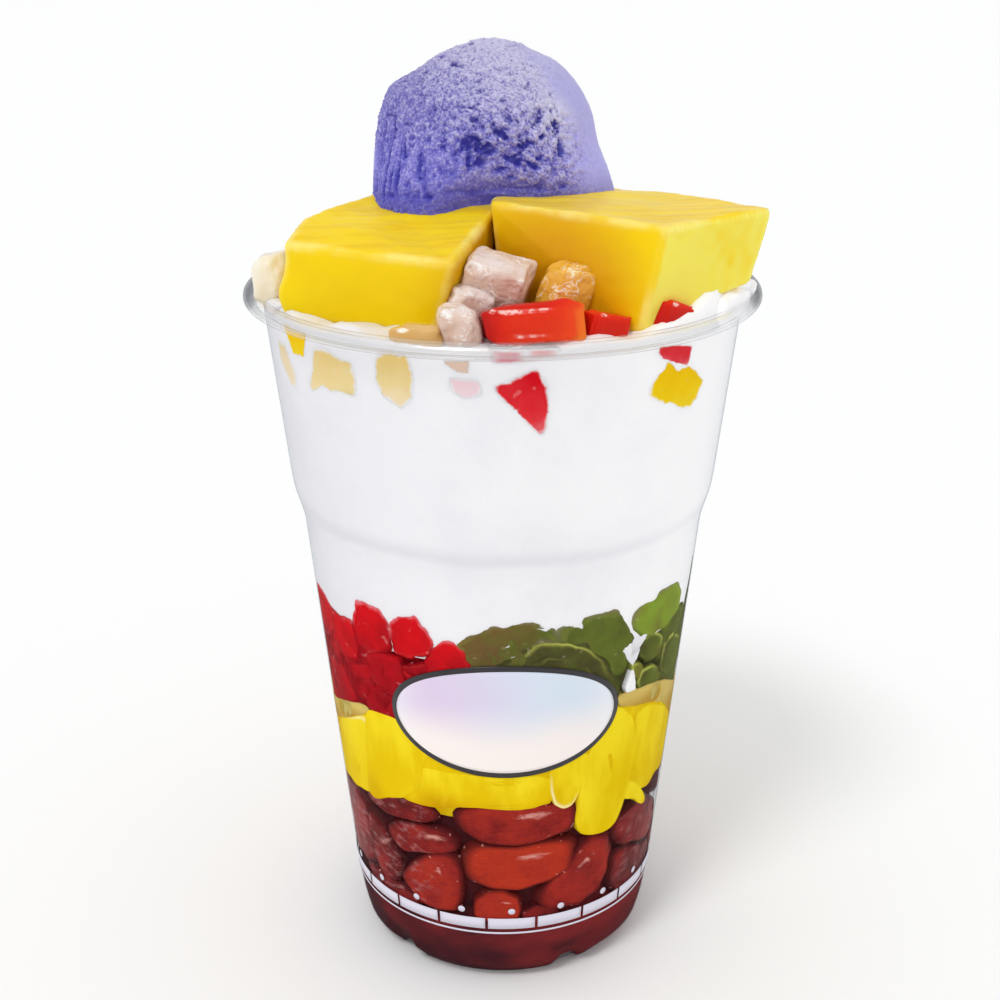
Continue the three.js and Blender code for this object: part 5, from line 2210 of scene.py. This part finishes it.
def sunk_pieces() -> list[SunkPiece]:
    """The pieces that show through the wall under the rim."""
    return [
        SunkPiece("fruit_sunk_left", FRUIT_SUNK, ((-60, 136), (-49, 136), (-51.6, 131.4), (-56.6, 130.8))),
        SunkPiece("palm_sunk_left", PALM_SUNK, (
            (-48.4, 130), (-47.4, 133.4), (-44.4, 134.4), (-40, 133.4), (-34.6, 133), (-34.4, 129),
            (-34.8, 126.4), (-39, 126.8), (-43, 126.4), (-46, 127), (-49, 125.2), (-51.6, 124.8), (-50, 127),
        )),
        SunkPiece("palm_sunk_middle", PALM_SUNK, (
            (-29, 130.4), (-28, 134.6), (-26, 135.8), (-20.6, 135.4), (-19.4, 131), (-20.6, 128),
            (-22.4, 126), (-25, 126.2), (-27.6, 128),
        )),
        SunkPiece("jelly_red_sunk", RED_SUNK, (
            (-2.6, 130.8), (1.6, 131.9), (7.2, 134.8), (10, 129.4), (10.2, 125), (8.8, 121.2), (5.2, 124.4),
            (1.2, 127.4),
        ), tone=0.3),
        SunkPiece("jelly_red_sunk_right", RED_SUNK, (
            (36, 135.4), (39.8, 135.2), (47.2, 134), (46.4, 130.4), (42, 131.6), (37.2, 133),
        ), 0.32),
        SunkPiece("fruit_sunk_right", FRUIT_SUNK, (
            (39.4, 132.7), (42.4, 130.2), (47.2, 130.3), (54.8, 126.1), (50.2, 121.5), (43, 123.6),
            (34.6, 126.4), (36.8, 130.2),
        ), 0.31),
        SunkPiece("palm_sunk_back", PALM_SUNK, chunk_corners((120, 130.2, 9, 7.4, 8), 1)),
        SunkPiece("jelly_red_sunk_back", RED_SUNK, chunk_corners((158, 128.8, 8, 8, 24), 2)),
        SunkPiece("fruit_sunk_back", FRUIT_SUNK, chunk_corners((200, 130.4, 9, 6.6, -18), 3)),
        SunkPiece("faint_left", FAINT, (
            (-66, 131.6), (-61, 132), (-57, 127), (-58, 123.6), (-62, 125), (-66, 128),
        )),
        SunkPiece("faint_middle", PEACH_SUNK, ((-12.8, 135), (-7, 135.2), (-7.2, 133), (-9.8, 133.1))),
        SunkPiece("faint_pink", BLUSH, (
            (-11.6, 132.2), (-5, 131.8), (-4.4, 129.2), (-8, 128.4), (-11, 129.6),
        )),
        SunkPiece("faint_foot", GHOST, (
            (-2.8, 137.3), (5.2, 137.3), (5.4, 135.2), (1, 134.8), (-2.2, 135),
        ), 0.36, 0.1),
        SunkPiece("faint_glow", GHOST, ((4.6, 137.3), (12.6, 137.2), (11.6, 135.8), (5, 135.6)), 0.34, 0.9),
    ]


# --------------------------------------------------------------------------------------- studio


@dataclass
class Studio:
    """The floor, the soft light and the camera."""

    camera_distance: float = 292.0
    camera_height: float = 205.1
    pitch: float = 20.88
    roll: float = -0.1
    yaw: float = -0.11
    focal: float = 1555.3
    picture: float = 1000.0
    sensor: float = 36.0
    floor_size: float = 6000.0
    world_strength: float = 0.8
    sun_strength: float = 0.87
    sun_width: float = 15.0
    sun_rise: float = 56.5
    sun_heading: float = -32.0

    def camera(self) -> None:
        """The camera, looking slightly down on the cup."""
        data = bpy.data.cameras.new("camera")
        data.sensor_width = self.sensor
        data.lens = self.focal * self.sensor / self.picture
        data.clip_start = 0.01
        data.clip_end = 50.0
        eye = bpy.data.objects.new("camera", data)
        eye.location = Vector((0.0, -self.camera_distance, self.camera_height)) * MM
        tilt = Matrix.Rotation(math.radians(90 - self.pitch), 3, "X")
        heading = Matrix.Rotation(math.radians(-self.yaw), 3, "Z")
        level = Matrix.Rotation(math.radians(self.roll), 3, "Z")
        eye.rotation_euler = (heading @ tilt @ level).to_euler()
        bpy.context.scene.collection.objects.link(eye)
        bpy.context.scene.camera = eye

    def floor(self) -> None:
        """The pale floor."""
        clay = Clay()
        bmesh.ops.create_grid(clay.bm, x_segments=2, y_segments=2, size=self.floor_size)
        clay.show("floor", FLOOR)

    def sun(self) -> None:
        """One wide soft light from the left and above, which reaches the whole floor alike."""
        data = bpy.data.lights.new("key", "SUN")
        data.energy = self.sun_strength
        data.angle = math.radians(self.sun_width)
        light = bpy.data.objects.new("key", data)
        rise, heading = math.radians(self.sun_rise), math.radians(self.sun_heading)
        level = math.cos(rise)
        way = Vector((level * math.sin(heading), -level * math.cos(heading), math.sin(rise)))
        light.rotation_euler = way.to_track_quat("Z", "Y").to_euler()
        bpy.context.scene.collection.objects.link(light)

    def sky(self) -> None:
        """Even white light from all round."""
        world = bpy.data.worlds.new("studio")
        world.use_nodes = True
        back = world.node_tree.nodes["Background"]
        back.inputs["Color"].default_value = (1.0, 1.0, 1.0, 1.0)
        back.inputs["Strength"].default_value = self.world_strength
        bpy.context.scene.world = world

    def build(self) -> None:
        """Sets up floor, light and camera."""
        self.camera()
        self.floor()
        self.sky()
        self.sun()
        scene = bpy.context.scene
        scene.view_settings.view_transform = "Standard"
        scene.view_settings.look = "None"


CUP = Cup()


def main() -> None:
    """Builds the cup, its food and the studio, in that order."""
    logging.basicConfig(level=logging.INFO, format="%(message)s")
    CUP.build()
    CupPrint().build()
    BeanLayer().build()
    FruitLayer().build()
    RedJellyLayer(Side.LEFT, "red_jelly", RED).build()
    GreenJellyLayer(Side.RIGHT, "green_jelly", GREEN).build()
    MilkBody().build()
    for slab in slabs():
        slab.build()
    UbeScoop().build()
    for seed, topping in enumerate(toppings()):
        topping.build(seed + 120)
    for seed, piece in enumerate(sunk_pieces()):
        piece.build(seed + 160)
    Studio().build()
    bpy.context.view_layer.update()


if __name__ == "__main__":
    main()
